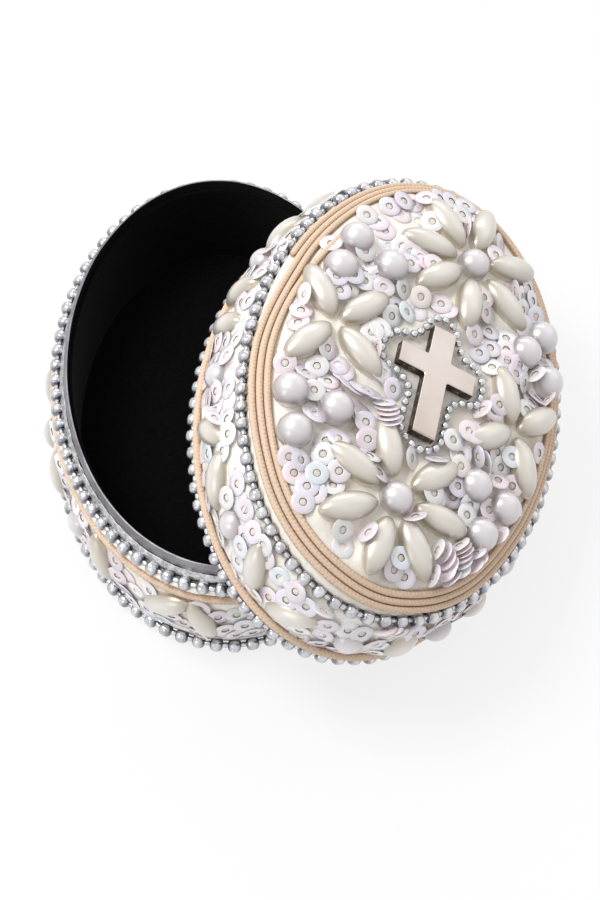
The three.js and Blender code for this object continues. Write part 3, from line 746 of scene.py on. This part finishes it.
base_shell()
collar()
collar_fillet()
base_lining()
side_coat("base_putty", [
    (1.6, 2.9), (2.7, 2.9), (3.2, 9), (2.9, 15.2), (2.1, 15.9), (2.1, 17.7), (3.1, 18.1), (3.0, 19),
    (0.95, 19), (0.95, 17.8), (1.6, 17.6),
], 3, "base", "base_side_coat", BASE_SURFACES)
bead_string("rim_beads", *RIM_BEADS, "base", "base_rim_beads")
bead_string("foot_beads", *FOOT_BEADS, "base", "base_foot_beads")
oval_cord("rim_cord", *RIM_CORD, "base", "base_rim_cord")


# Lid: pearls on the dome, as shares of its half width and half length

PATTERN_SPAN = min(DOME_WIDTH, DOME_LENGTH * 0.635)
# An oval pearl's half width, half length and half depth
PETAL = (0.0955 * PATTERN_SPAN, 0.206 * PATTERN_SPAN, 0.0895 * PATTERN_SPAN)
ROUND_RADIUS = 0.1147 * PATTERN_SPAN
SMALL_RADIUS = 0.1031 * PATTERN_SPAN
WIDE_REACH = 0.35 * PATTERN_SPAN
CROSSED_REACH = 0.2528 * PATTERN_SPAN
LID_SEAT = 0.3 * MM
PEARL_SEAT = 0.42  # how far a pearl's middle stands over its seat, as a share of its half depth
PETAL_HEADINGS = {
    "top": [87, 138, 186, 229, 275, 331, 30],
    "left": [127, 53, 238, 325],
    "bottom": [118, 166, 216, 269, 314, 4, 53],
    "right": [123, 223, 50, 304],
}
FLOWER_SHARES = {
    "top": (0.104, 0.652), "left": (-0.705, 0.008), "bottom": (0.02, -0.637), "right": (0.7, -0.03),
}
ROUND_SHARES = [
    (-0.84, -0.385), (-0.54, -0.387), (-0.735, -0.555), (-0.722, 0.471), (-0.775, 0.291), (-0.462, 0.4),
    (0.74, 0.51), (0.63, 0.37), (0.86, 0.31), (0.518, -0.393), (0.776, -0.397), (0.665, -0.572),
]


def dome_spot(share):
    return share[0] * DOME_WIDTH, share[1] * DOME_LENGTH


def dome_pearls():
    """Every pearl on the dome: its node, place, heading, half sizes and slot."""
    pearls = []
    for flower, share in FLOWER_SHARES.items():
        x, y = dome_spot(share)
        reach = WIDE_REACH if flower in ("top", "bottom") else CROSSED_REACH
        for index, degrees in enumerate(PETAL_HEADINGS[flower]):
            angle = math.radians(degrees)
            spot = (x + reach * math.cos(angle), y + reach * math.sin(angle))
            pearls.append((f"flower_{flower}_petal_{index + 1}", spot, angle, PETAL, "ivory_pearl"))
        if reach == WIDE_REACH:
            pearls.append((f"flower_{flower}_centre", (x, y), 0, (SMALL_RADIUS,) * 3, "round_pearl"))
    for index, share in enumerate(ROUND_SHARES):
        size = (ROUND_RADIUS,) * 3
        pearls.append((f"round_pearl_{index + 1}", dome_spot(share), 0, size, "round_pearl"))
    return pearls


DOME_PEARLS = dome_pearls()


SWELL_REACH = 7 * MM
SWELL_HEIGHT = 0.7  # in millimetres, as the next one
SWELL_WIDTH = 0.8


def putty_swell(x, y):
    """How far the putty rises against the pearls that are pressed into it, in millimetres."""
    swell = 0
    for _, (px, py), angle, (half_width, half_length, _), _ in DOME_PEARLS:
        dx, dy = x - px, y - py
        if abs(dx) > SWELL_REACH or abs(dy) > SWELL_REACH:
            continue
        along = dx * math.cos(angle) + dy * math.sin(angle)
        across = -dx * math.sin(angle) + dy * math.cos(angle)
        beyond = (math.hypot(along / half_length, across / half_width) - 0.9) * half_width / MM
        if beyond < 3:
            swell = max(swell, SWELL_HEIGHT * math.exp(-(max(beyond, 0) / SWELL_WIDTH) ** 2))
    return swell


def dome_height(x, y):
    return DOME_EDGE[1] + DOME_RISE * (1 - (x / DOME_WIDTH) ** 2 - (y / DOME_LENGTH) ** 2)


def dome_normal(x, y):
    slope = (2 * DOME_RISE * x / DOME_WIDTH ** 2, 2 * DOME_RISE * y / DOME_LENGTH ** 2)
    return Vector((*slope, 1)).normalized()


def lid_shell():
    tin = [(0, 15.6, 0), (0.4, 15.6, 1), (1.7, 13.8, 1), (1.7, 0.05, 1), (1.55, -0.1, 1), (1.25, -0.1, 1),
           (1.1, 0.05, 1), (1.1, 13.5, 1), (0.1, 15.0, 1), (0, 15.0, 0)]
    piece("lid_tin", turned(in_mm(tin)), TIN, "lid", ["lid_shell"], "tin", False)
    pad = [(0, 14.1, 0), (-0.9, 14.1, 1), (-0.6, 14.3, 1), (-0.6, 14.7, 1), (0, 14.7, 0)]
    piece("lid_velvet", turned(in_mm(pad)), VELVET, "lid", ["lid_lining"], "velvet")


DOME_ROWS = 84


def lid_top():
    """The putty of the top: a shoulder and a dome, uneven and pressed up round the pearls."""
    edge, height = DOME_EDGE
    rim = in_mm([(0, 15.9, 0), (0.4, 15.9, 1), (1.7, 16.4, 1), (1.9, 17.6, 1), (1.5, 18.2, 1),
                 (0.9, 18.7, 1), (-0.6, 19.85, 1), (-1.3, 20.4, 1)])
    rim.append((edge, height - 0.2 * MM, 1))
    shares = [1 - step / DOME_ROWS for step in range(1, DOME_ROWS)]
    dome = [(edge, height + DOME_RISE * (1 - share ** 2), share) for share in shares]

    def bumps(point, row_index, angle):
        if row_index < len(rim):
            return point
        lift = noise.noise(point * 230) * 0.2 + noise.noise(point * 90 + Vector((5, 0, 0))) * 0.2
        lift += putty_swell(point.x, point.y) * min(1, (row_index - len(rim)) / 4)
        return point + Vector((0, 0, lift * MM))

    shape = turned(rim + dome + [(0, height + DOME_RISE, 0)], COAT_STEPS, shift=bumps)
    TOP_SURFACES.append(shape)
    piece("lid_top_putty", shape, PUTTY, "lid", ["lid_top_coat"], "putty")


def eased(share):
    share = min(max(share, 0), 1)
    return share * share * (3 - 2 * share)


def wander(angle):
    degrees = math.degrees(angle) % 360
    count = len(WINDING_WANDER)
    for index, (start, amount) in enumerate(WINDING_WANDER):
        end, following = WINDING_WANDER[(index + 1) % count]
        end = end if end > start else end + 360
        if start <= degrees < end:
            return (amount + (following - amount) * eased((degrees - start) / (end - start))) * MM
    return 0


WINDING_STEPS = 5000


def winding():
    """Three level turns that each step in by one before the seam, and a tail that bends inward past it."""
    turns = WINDING_TURNS + WINDING_TAIL
    frames = []
    for step in range(WINDING_STEPS + 1):
        done = step / WINDING_STEPS * turns
        whole = math.floor(done)
        inward = whole + eased((done - whole - (1 - WINDING_JOG)) / WINDING_JOG)
        inward += eased((done - turns + 2 * WINDING_TAIL) / (2 * WINDING_TAIL))
        angle = WINDING_SEAM - done * TURN
        drift = wander(angle)
        offset = WINDING_OUTER[0] + WINDING_STEP[0] * inward + drift
        height = WINDING_OUTER[1] + WINDING_STEP[1] * inward - 0.75 * drift
        frames.append((oval_place(angle, offset, height), oval_outward(angle, offset)))
    shape = cord_tube(frames, WINDING_RADIUS)
    TOP_SURFACES.append(shape)
    piece("top_cord", shape, CORD, "lid", ["lid_top_cord"], "waxed_cord")


OVAL_POINT = 0.15
# How much larger the pearls are than their sizes above. Their crowns stay at the same height
PEARL_SWELL = 1.05
CENTRE_SWELL = 1.12


def y_sphere(segments, rings):
    points, faces = unit_sphere(segments, rings)
    return [Vector((point.x, point.z, -point.y)) for point in points], faces


def drawn_in(shape):
    """A ball along Y, drawn in toward both its ends."""
    points = []
    for point in shape[0]:
        share = math.hypot(point.x, point.z) ** OVAL_POINT
        points.append(Vector((point.x * share, point.y, point.z * share)))
    return points, shape[1]


ROUND_SHAPE = y_sphere(40, 26)
OVAL_SHAPE = drawn_in(ROUND_SHAPE)


def single(shape, matrix):
    heap = Heap()
    heap.add(shape, matrix)
    return heap


def place_dome_pearls():
    for node, (x, y), angle, size, slot in DOME_PEARLS:
        normal = dome_normal(x, y)
        swell = CENTRE_SWELL if node.endswith("centre") else PEARL_SWELL
        rise = LID_SEAT + (PEARL_SEAT + 1 - swell) * size[2]
        centre = Vector((x, y, dome_height(x, y))) + normal * rise
        heading = Vector((math.cos(angle + rng.uniform(-0.04, 0.04)), math.sin(angle), 0))
        shape = ROUND_SHAPE if size[0] == size[1] else OVAL_SHAPE
        pearl = single(shape, seated(centre, normal, heading, [half * swell for half in size]))
        TOP_SURFACES.append(pearl.shape())
        piece(node + "_pearl", pearl.shape(True), PEARLS[slot], "lid", [node], slot)


# Pearls on the sides: share of a turn from +X, share of the coat's height, lean in degrees, None if round
LID_SIDE = [
    (0.02, 0.5, 20), (0.062, 0.45, None), (0.104, 0.55, -60), (0.15, 0.5, None), (0.2, 0.5, -15),
    (0.25, 0.5, None), (0.295, 0.5, 50), (0.337, 0.5, None), (0.374, 0.5, 30), (0.412, 0.45, 80),
    (0.446, 0.6, None), (0.473, 0.5, 0), (0.499, 0.42, -16), (0.537, 0.5, None), (0.575, 0.42, -38),
    (0.608, 0.43, 60), (0.641, 0.46, None), (0.677, 0.6, 33), (0.724, 0.46, -52), (0.778, 0.5, None),
    (0.827, 0.5, 0), (0.866, 0.4, None), (0.902, 0.5, 65), (0.942, 0.5, None), (0.98, 0.5, -35),
]
BASE_SIDE = [
    (0.06, 0.5, 30), (0.15, 0.5, None), (0.24, 0.5, -30), (0.33, 0.5, None), (0.42, 0.5, 20),
    (0.474, 0.5, 10), (0.51, 0.5, -10), (0.541, 0.5, 20), (0.583, 0.55, None), (0.619, 0.72, 29),
    (0.686, 0.9, -58), (0.719, 0.68, 24), (0.79, 0.5, None), (0.88, 0.5, 15), (0.95, 0.5, None),
]
SIDE_ROUND = 2.7 * MM
SIDE_DEPTH = 2.5 * MM


def side_pearls(name, table, low, high, offset, body, surfaces):
    heaps = {slot: Heap() for slot in PEARLS}
    for turn, share, lean in table:
        place = oval_place(turn * TURN, offset, low + (high - low) * share)
        outward = oval_outward(turn * TURN, offset)
        heading = Matrix.Rotation(math.radians(lean or 0), 3, outward) @ UP
        if lean is None:
            size, slot, shape = (SIDE_ROUND, SIDE_ROUND, SIDE_DEPTH), "round_pearl", ROUND_SHAPE
        else:
            size, slot, shape = (PETAL[0], PETAL[1], SIDE_DEPTH), "ivory_pearl", OVAL_SHAPE
        matrix = seated(place, outward, heading, size)
        surfaces.append(single(shape, matrix).shape())
        heaps[slot].add(shape, matrix)
    for slot, heap in heaps.items():
        piece(f"{name}_{slot}s", heap.shape(True), PEARLS[slot], body, (), slot)


CROSS_TURN = math.radians(3)
CROSS_PLACE = (0.0194 * PATTERN_SPAN, 0.0156 * PATTERN_SPAN)
ARM_REACH, TOP_REACH, FOOT_REACH = (share * PATTERN_SPAN for share in (0.2917, 0.3151, 0.5406))
ARM_HALF, STEM_HALF, FOOT_HALF = (share * PATTERN_SPAN for share in (0.0798, 0.0875, 0.0895))
CROSS_THICKNESS = 1.8 * MM
CROSS_CORNER = 0.35 * MM
STEM_STEPS = 8


def cross_outline():
    """Half turns of the outline, with small fillets where the arms meet the stem."""
    corner, inset = CROSS_CORNER, CROSS_CORNER * 0.3
    right = [(STEM_HALF, TOP_REACH), (STEM_HALF, ARM_HALF + corner), (STEM_HALF + inset, ARM_HALF + inset),
             (STEM_HALF + corner, ARM_HALF), (ARM_REACH, ARM_HALF), (ARM_REACH, -ARM_HALF),
             (STEM_HALF + corner, -ARM_HALF), (STEM_HALF + inset, -ARM_HALF - inset),
             (STEM_HALF, -ARM_HALF - corner)]
    for step in range(1, STEM_STEPS + 1):
        share = step / STEM_STEPS
        y = -ARM_HALF - corner + (-FOOT_REACH + ARM_HALF + corner) * share
        right.append((STEM_HALF + (FOOT_HALF - STEM_HALF) * share ** 2, y))
    return right + [(-x, y) for x, y in reversed(right)]


def cross_plate():
    """The cross's mesh, lying at its own middle: the outline raised, with its upper rim bevelled."""
    edit = bmesh.new()
    face = edit.faces.new([edit.verts.new((x, y, 0)) for x, y in cross_outline()])
    lifted = bmesh.ops.extrude_face_region(edit, geom=[face])
    top = [item for item in lifted["geom"] if isinstance(item, bmesh.types.BMVert)]
    bmesh.ops.translate(edit, verts=top, vec=(0, 0, CROSS_THICKNESS))
    edit.normal_update()
    rims = [edge for edge in edit.edges if all(vert.co.z > CROSS_THICKNESS * 0.9 for vert in edge.verts)
            and len(edge.link_faces) == 2]
    bmesh.ops.bevel(edit, geom=rims, offset=0.32 * MM, segments=3, profile=0.6, affect="EDGES")
    bmesh.ops.recalc_face_normals(edit, faces=edit.faces)
    mesh = bpy.data.meshes.new("cross_plate")
    edit.to_mesh(mesh)
    edit.free()
    return mesh


def cross():
    """The cross, bright on top and dark with patina on its sides."""
    mesh = cross_plate()
    place = Matrix.Translation((*CROSS_PLACE, dome_height(0, 0) + LID_SEAT))
    mesh.transform(place @ Matrix.Rotation(CROSS_TURN, 4, "Z"))
    sides = [abs(polygon.normal.z) < 0.3 for polygon in mesh.polygons]
    finish_piece("cross_plate", mesh, [CROSS, PATINA], "lid", ["cross"], "cross_metal", False)
    for polygon, side in zip(mesh.polygons, sides):
        polygon.material_index = 1 if side else 0


# The border round the cross, as shares of the cross's reaches
BORDER_TOP = [(0, 1.34), (0.3, 1.2), (0.46, 0.86), (0.72, 0.58), (1.04, 0.55), (1.27, 0.2)]
BORDER_FOOT = [(1.2, -0.17), (0.84, -0.25), (0.56, -0.4), (0.53, -0.72), (0.5, -0.97), (0.2, -1.12),
               (-0.16, -1.12), (-0.5, -0.98), (-0.55, -0.7), (-0.54, -0.42), (-0.86, -0.26), (-1.27, -0.17)]
BORDER_BACK = [(-1.37, 0.12), (-1.08, 0.52), (-0.72, 0.6), (-0.46, 0.88), (-0.32, 1.2)]


def border_route():
    """The border's path in the cross's plane, as a smooth closed line of points."""
    knots = [Vector((x * ARM_REACH, y * TOP_REACH)) for x, y in BORDER_TOP]
    knots += [Vector((x * ARM_REACH, y * FOOT_REACH)) for x, y in BORDER_FOOT]
    knots += [Vector((x * ARM_REACH, y * TOP_REACH)) for x, y in BORDER_BACK]
    count, fine = len(knots), 24
    path = []
    for index in range(count):
        a, b, c, d = (knots[(index + shift) % count] for shift in (-1, 0, 1, 2))
        for step in range(fine):
            t = step / fine
            path.append(0.5 * (2 * b + (c - a) * t + (2 * a - 5 * b + 4 * c - d) * t * t
                               + (3 * b - a - 3 * c + d) * t ** 3))
    return path


BORDER_SHAPE = unit_sphere(12, 8)
BORDER_RADIUS = 0.75 * MM
BORDER_PITCH = 1.68 * MM


def cross_border():
    path = border_route()
    heap = Heap()
    for index, share in spaced(path, BORDER_PITCH):
        flat = Matrix.Rotation(CROSS_TURN, 2) @ path[index].lerp(path[(index + 1) % len(path)], share)
        x, y = flat.x + CROSS_PLACE[0], flat.y + CROSS_PLACE[1]
        normal = dome_normal(x, y)
        place = Vector((x, y, dome_height(x, y))) + normal * (LID_SEAT + BORDER_RADIUS)
        size = BORDER_RADIUS * rng.uniform(0.94, 1.04)
        heap.add(BORDER_SHAPE, seated(place, normal, Vector((1, 0, 0)), (size, size, size)))
    TOP_SURFACES.append(heap.shape())
    piece("cross_border_beads", heap.shape(), SILVER, "lid", ["cross_border"], "silver_beads")


lid_shell()
side_coat("lid_side_putty", [
    (2.0, 1.45), (2.8, 1.45), (2.8, 3.3), (3.5, 3.4), (3.9, 7.4), (3.9, 12.9), (3.4, 14.9), (3.1, 15.9),
    (2.3, 16.2), (1.5, 15.9), (1.4, 15.0), (2.0, 13.8),
], 8, "lid", "lid_side_coat", LID_SURFACES)
lid_top()
bead_string("hem_beads", *HEM_BEADS, "lid", "lid_hem_beads")
bead_string("top_beads", *TOP_BEADS, "lid", "lid_top_beads")
oval_cord("hem_cord", *HEM_CORD, "lid", "lid_hem_cord")
winding()
place_dome_pearls()
side_pearls("lid_side", LID_SIDE, 5.86 * MM, 12.9 * MM, 3.7 * MM, "lid", LID_SURFACES)
side_pearls("base_side", BASE_SIDE, 5.36 * MM, 12.74 * MM, 3.05 * MM, "base", BASE_SURFACES)
cross()
cross_border()


# Sequins: pixels of the photograph, sorted by tint, where a sequin's middle is seen

SEQUIN_OUTER = 2.05 * MM
SEQUIN_HOLE = 0.68 * MM
SEQUIN_THICKNESS = 0.1 * MM
SINK = 0.3 * MM

TOP_SEQUINS = {
    "white": [
        (389, 246), (418, 221), (432, 222), (380, 328), (373, 331), (326, 440), (323, 454), (506, 338),
        (460, 449), (461, 455), (348, 289), (333, 485), (526, 410), (403, 246), (492, 367), (343, 547),
        (436, 497),
    ],
    "pink": [
        (331, 243), (298, 322), (301, 310), (401, 214), (385, 231), (411, 252), (427, 261), (421, 257),
        (373, 261), (413, 203), (427, 197), (473, 216), (496, 255), (484, 297), (446, 311), (441, 304),
        (285, 363), (331, 386), (328, 381), (289, 457), (294, 473), (339, 471), (506, 350), (507, 361),
        (490, 348), (495, 416), (494, 411), (474, 434), (469, 431), (513, 486), (489, 510), (358, 411),
        (434, 264),
    ],
    "lilac": [
        (389, 207), (404, 201), (378, 222), (337, 276), (340, 290), (354, 274), (380, 275), (417, 311),
        (397, 307), (411, 263), (343, 371), (338, 365), (339, 437), (301, 460), (314, 493), (489, 331),
        (479, 353), (520, 365), (516, 374), (453, 497), (458, 486), (402, 578), (440, 198), (452, 201),
        (466, 206), (307, 486), (303, 502),
    ],
    "mauve": [
        (328, 348), (376, 285), (384, 287), (475, 334), (363, 415), (366, 422), (368, 439), (498, 452),
        (394, 570), (499, 405),
    ],
    "grey": [
        (366, 250), (404, 289), (392, 316), (317, 366), (314, 390), (367, 215), (462, 215), (487, 312),
        (502, 467), (471, 505), (467, 515), (343, 530), (453, 440), (524, 383), (365, 281), (434, 493),
    ],
    "blue": [(407, 312), (317, 473), (401, 558), (518, 505), (512, 457)],
    "peach": [(421, 297), (461, 466)],
}

# Sequins seen on edge: pixel, the way the face looks in the picture, and its turn from the eye, in degrees
TOP_BLADES = [
    (500, 244, 10, 68), (506, 241, 15, 70), (511, 248, 20, 70), (517, 256, 25, 72), (467, 228, 170, 72),
    (515, 291, 180, 72), (522, 297, 5, 66), (529, 288, 20, 60), (533, 301, 15, 60), (523, 310, 5, 55),
    (536, 317, 10, 42), (524, 326, 5, 42), (304, 294, 165, 55), (375, 366, 20, 48), (379, 369, 20, 48),
    (384, 373, 22, 46), (389, 379, 24, 44), (393, 389, 15, 40), (349, 384, 55, 72), (354, 388, 55, 72),
    (360, 388, 57, 72), (366, 390, 60, 72), (371, 393, 62, 70), (384, 402, 85, 70), (387, 407, 88, 70),
    (388, 412, 90, 70), (389, 417, 92, 70), (390, 422, 92, 70), (370, 455, 60, 68), (366, 460, 60, 68),
    (380, 472, 35, 64), (412, 458, 5, 60), (377, 348, 175, 68), (437, 459, 82, 76), (539, 453, 0, 58),
    (486, 462, 190, 66), (478, 457, 185, 58), (492, 470, 5, 64), (535, 374, 120, 56), (543, 362, 60, 62),
    (537, 398, 50, 74), (547, 400, 135, 74), (532, 402, 45, 68), (437, 550, 150, 64), (444, 553, 150, 60),
    (447, 560, 145, 56), (449, 566, 140, 50), (446, 571, 140, 40), (459, 545, 120, 70), (461, 549, 118, 70),
    (463, 553, 115, 70), (461, 558, 110, 64), (461, 563, 108, 58), (459, 570, 105, 44), (475, 553, 110, 62),
    (477, 560, 115, 54), (473, 566, 120, 58), (434, 576, 160, 66), (452, 579, 130, 72), (499, 536, 130, 58),
    (368, 532, 135, 58), (415, 516, 100, 68), (498, 480, 60, 48), (306, 372, 60, 62), (316, 414, 60, 54),
    (313, 410, 60, 48), (482, 409, 130, 58),
]

LID_SEQUINS = {
    "white": [
        (244, 322), (237, 340), (229, 402), (237, 472), (240, 502), (348, 630), (320, 647), (246, 592),
    ],
    "pink": [(242, 303), (226, 343), (232, 372), (206, 400), (202, 452), (244, 537), (267, 557), (269, 597)],
    "lilac": [
        (226, 355), (228, 388), (213, 410), (229, 419), (237, 484), (245, 510), (253, 532), (225, 551),
        (240, 577), (288, 598), (308, 604), (328, 625), (322, 637), (376, 656), (304, 220),
    ],
    "grey": [(212, 355), (228, 498), (214, 517), (263, 545), (233, 573), (300, 637), (362, 634), (326, 204)],
    "blue": [(280, 577), (240, 547), (378, 645)],
}
LID_BLADES = [
    (213, 414, 60, 60), (215, 418, 60, 62), (324, 611, 60, 66), (385, 630, 95, 66), (391, 630, 95, 66),
    (397, 631, 95, 66), (403, 630, 95, 64), (280, 248, 140, 60), (249, 276, 150, 62),
]
BASE_SEQUINS = {
    "white": [(150, 590), (98, 560)],
    "pink": [(128, 576), (200, 606)],
    "lilac": [(218, 619), (80, 532)],
}
FILL_TRIES = 4000
FILL_SPACING = 2.7 * MM
FILL_TINTS = ["white", "pink", "lilac", "lilac", "grey", "pink", "white", "blue", "mauve"]


# A thin disc lying on its back, with a lip round its hole
SEQUIN = lathe([
    (SEQUIN_OUTER - 0.04 * MM, 0), (SEQUIN_OUTER, 0.05 * MM), (SEQUIN_OUTER - 0.04 * MM, SEQUIN_THICKNESS),
    (1.2 * MM, 0.09 * MM), (0.95 * MM, 0.12 * MM), (0.76 * MM, 0.11 * MM), (SEQUIN_HOLE, 0.06 * MM),
    (0.72 * MM, 0),
], 26, True)
# The low dome of glue that stands in a sequin's hole
GLUE = lathe([
    (0, -0.2 * MM), (SEQUIN_HOLE * 0.9, -0.2 * MM), (SEQUIN_HOLE * 0.96, -0.1 * MM),
    (SEQUIN_HOLE * 0.6, -0.05 * MM), (0, -0.03 * MM),
], 12)

PROBE = 6 * MM
RIM_SAMPLES = ((0.97 * SEQUIN_OUTER, 14), (0.6 * SEQUIN_OUTER, 7))
TILTS = (0, 7, 14, 21, 28, 35)
TILT_TURNS = 12
CLEARANCE = 0.02 * MM


def tree_of(surfaces):
    heap = Heap()
    for surface in surfaces:
        heap.add(surface, Matrix.Identity(4))
    return BVHTree.FromPolygons(heap.points, heap.faces)


def side_normal(spot):
    return Vector((spot.x / HALF_WIDTH ** 2, spot.y / HALF_LENGTH ** 2, 0)).normalized()


def top_normal(spot):
    return dome_normal(spot.x, spot.y)


class Bed:
    """A coat with its pearls, in its body's own place, and the sequins laid on it so far."""

    def __init__(self, name, surfaces, normal_at, body, highest=1.7 * MM, stand=0.8):
        self.name, self.normal_at, self.body = name, normal_at, body
        self.coat, self.all = tree_of(surfaces[:1]), tree_of(surfaces)
        self.home = LID.inverted() if body == "lid" else Matrix.Identity(4)
        self.highest, self.stand = highest, stand
        self.discs = []
        self.heaps = {tint: Heap() for tint in SEQUIN_COLOURS}
        self.glue = Heap()

    def level(self, spot, normal):
        """How high the highest thing stands over a spot of the coat."""
        hit, _, _, distance = self.all.ray_cast(spot + normal * PROBE, -normal, 2 * PROBE)
        highest = PROBE - distance if hit else -0.5 * MM
        for middle, face in self.discs:
            slope = face.dot(normal)
            if (middle - spot).length > 2.6 * SEQUIN_OUTER or slope < 0.2:
                continue
            rise = (middle - spot).dot(face) / slope
            if (spot + normal * rise - middle).length < SEQUIN_OUTER:
                highest = max(highest, rise + SEQUIN_THICKNESS)
        return min(highest, self.highest)

    def crowded(self, spot, normal):
        """Whether a pearl stands in the way of a sequin's rim."""
        across = normal.orthogonal().normalized()
        along = normal.cross(across)
        blocked = 0
        for step in range(8):
            turn = step / 8 * TURN
            way = across * math.cos(turn) + along * math.sin(turn)
            blocked += self.level(spot + way * 0.8 * SEQUIN_OUTER, normal) > 0.75 * self.highest
        return blocked > 2

    def rest(self, spot, normal):
        """Lets a sequin drop on a spot: the tilt that leaves it lowest, and how high its middle ends."""
        across = normal.orthogonal().normalized()
        along = normal.cross(across)
        samples = []
        for radius, count in RIM_SAMPLES:
            for index in range(count):
                angle = index / count * TURN
                x, y = radius * math.cos(angle), radius * math.sin(angle)
                samples.append((x, y, self.level(spot + across * x + along * y, normal)))
        best = None
        for degrees in TILTS:
            for turn in range(TILT_TURNS if degrees else 1):
                slope, angle = math.tan(math.radians(degrees)), turn / TILT_TURNS * TURN
                a, b = slope * math.cos(angle), slope * math.sin(angle)
                height = max(level - a * x - b * y for x, y, level in samples)
                cost = height + 0.3 * MM * (degrees / TILTS[-1]) ** 2
                if best is None or cost < best[0]:
                    best = (cost, height, (normal - across * a - along * b).normalized())
        bare = all((middle - spot).length > 1.9 * SEQUIN_OUTER for middle, _ in self.discs)
        return best[1] - (min(SINK, best[1]) if bare else 0), best[2]

    def lay(self, spot, face, tint):
        heading = Matrix.Rotation(rng.uniform(0, TURN), 3, face) @ face.orthogonal()
        self.heaps[tint].add(SEQUIN, seated(spot, face, heading))
        self.glue.add(GLUE, seated(spot, face, heading))
        self.discs.append((spot, face))

    def seen(self, pixel, rise=0.0):
        """Where the camera's ray through a pixel meets the coat, raised by a height."""
        origin, ray = self.home @ CAMERA_PLACE, (self.home.to_3x3() @ pixel_ray(*pixel)).normalized()
        hit, _, _, _ = self.coat.ray_cast(origin, ray)
        if hit is None:
            return None
        for _ in range(3):
            lifted, _, _, _ = self.coat.ray_cast(origin - self.normal_at(hit) * rise, ray)
            if lifted is None:
                break
            hit = lifted
        return hit

    def lay_seen(self, pixel, tint):
        """Lays a sequin where a pixel shows it. Its height moves the spot, so it is looked up twice."""
        height = 0.8 * MM
        for _ in range(2):
            spot = self.seen(pixel, height)
            if spot is None:
                return
            height, face = self.rest(spot, self.normal_at(spot))
        self.lay(spot + self.normal_at(spot) * (height + CLEARANCE), face, tint)

    def stand_seen(self, pixel, toward, lean, tint):
        """Stands a sequin on edge, as far out of the coat as its slant lets its rim reach down."""
        angle, away = math.radians(toward), math.radians(lean)
        sideways = CAMERA_RIGHT * math.cos(angle) + CAMERA_UP * math.sin(angle)
        face = -pixel_ray(*pixel) * math.cos(away) + sideways * math.sin(away)
        face = (self.home.to_3x3() @ face).normalized()
        spot = self.seen(pixel)
        if spot is None:
            return
        normal = self.normal_at(spot)
        slant = math.sqrt(max(0, 1 - face.dot(normal) ** 2))
        height = slant * SEQUIN_OUTER * self.stand + 0.3 * MM
        self.lay(self.seen(pixel, height) + normal * height, face, tint)

    def photographed(self, faces, blades):
        """Lays the sequins that the photograph shows flat, then the ones that it shows on edge."""
        for tint, pixels in faces.items():
            for pixel in pixels:
                self.lay_seen(pixel, tint)
        for u, v, toward, lean in blades:
            self.stand_seen((u, v), toward, lean, rng.choice(["white", "pink", "lilac"]))

    def fill(self, offset, low, high):
        """Lays seeded sequins wherever a side still shows bare putty."""
        for _ in range(FILL_TRIES):
            angle = rng.uniform(0, TURN)
            spot = oval_place(angle, offset, rng.uniform(low, high))
            if any((middle - spot).length < FILL_SPACING for middle, _ in self.discs):
                continue
            normal = oval_outward(angle, offset)
            if self.level(spot, normal) > 0.5 * MM or self.crowded(spot, normal):
                continue
            height, face = self.rest(spot, normal)
            self.lay(spot + normal * (height + CLEARANCE), face, rng.choice(FILL_TINTS))

    def finish(self):
        for tint, heap in self.heaps.items():
            if heap.points:
                piece(f"{self.name}_{tint}_sequins", heap.shape(), SEQUINS[tint], self.body)
        # The glue dots carry painted shade.
        piece(f"{self.name}_glue", self.glue.shape(), SHADED_GLUE_DOTS, self.body, (), "putty")


def sequins():
    top = Bed("lid_top", TOP_SURFACES, top_normal, "lid")
    top.photographed(TOP_SEQUINS, TOP_BLADES)
    top.finish()
    side = Bed("lid_side", LID_SURFACES, side_normal, "lid", 0.9 * MM, 0.5)
    side.photographed(LID_SEQUINS, LID_BLADES)
    side.fill(3.9 * MM, 4.4 * MM, 14.8 * MM)
    side.finish()
    base = Bed("base_side", BASE_SURFACES, side_normal, "base", 0.9 * MM)
    base.photographed(BASE_SEQUINS, [])
    base.fill(3.2 * MM, 4.2 * MM, 14.2 * MM)
    base.finish()


sequins()
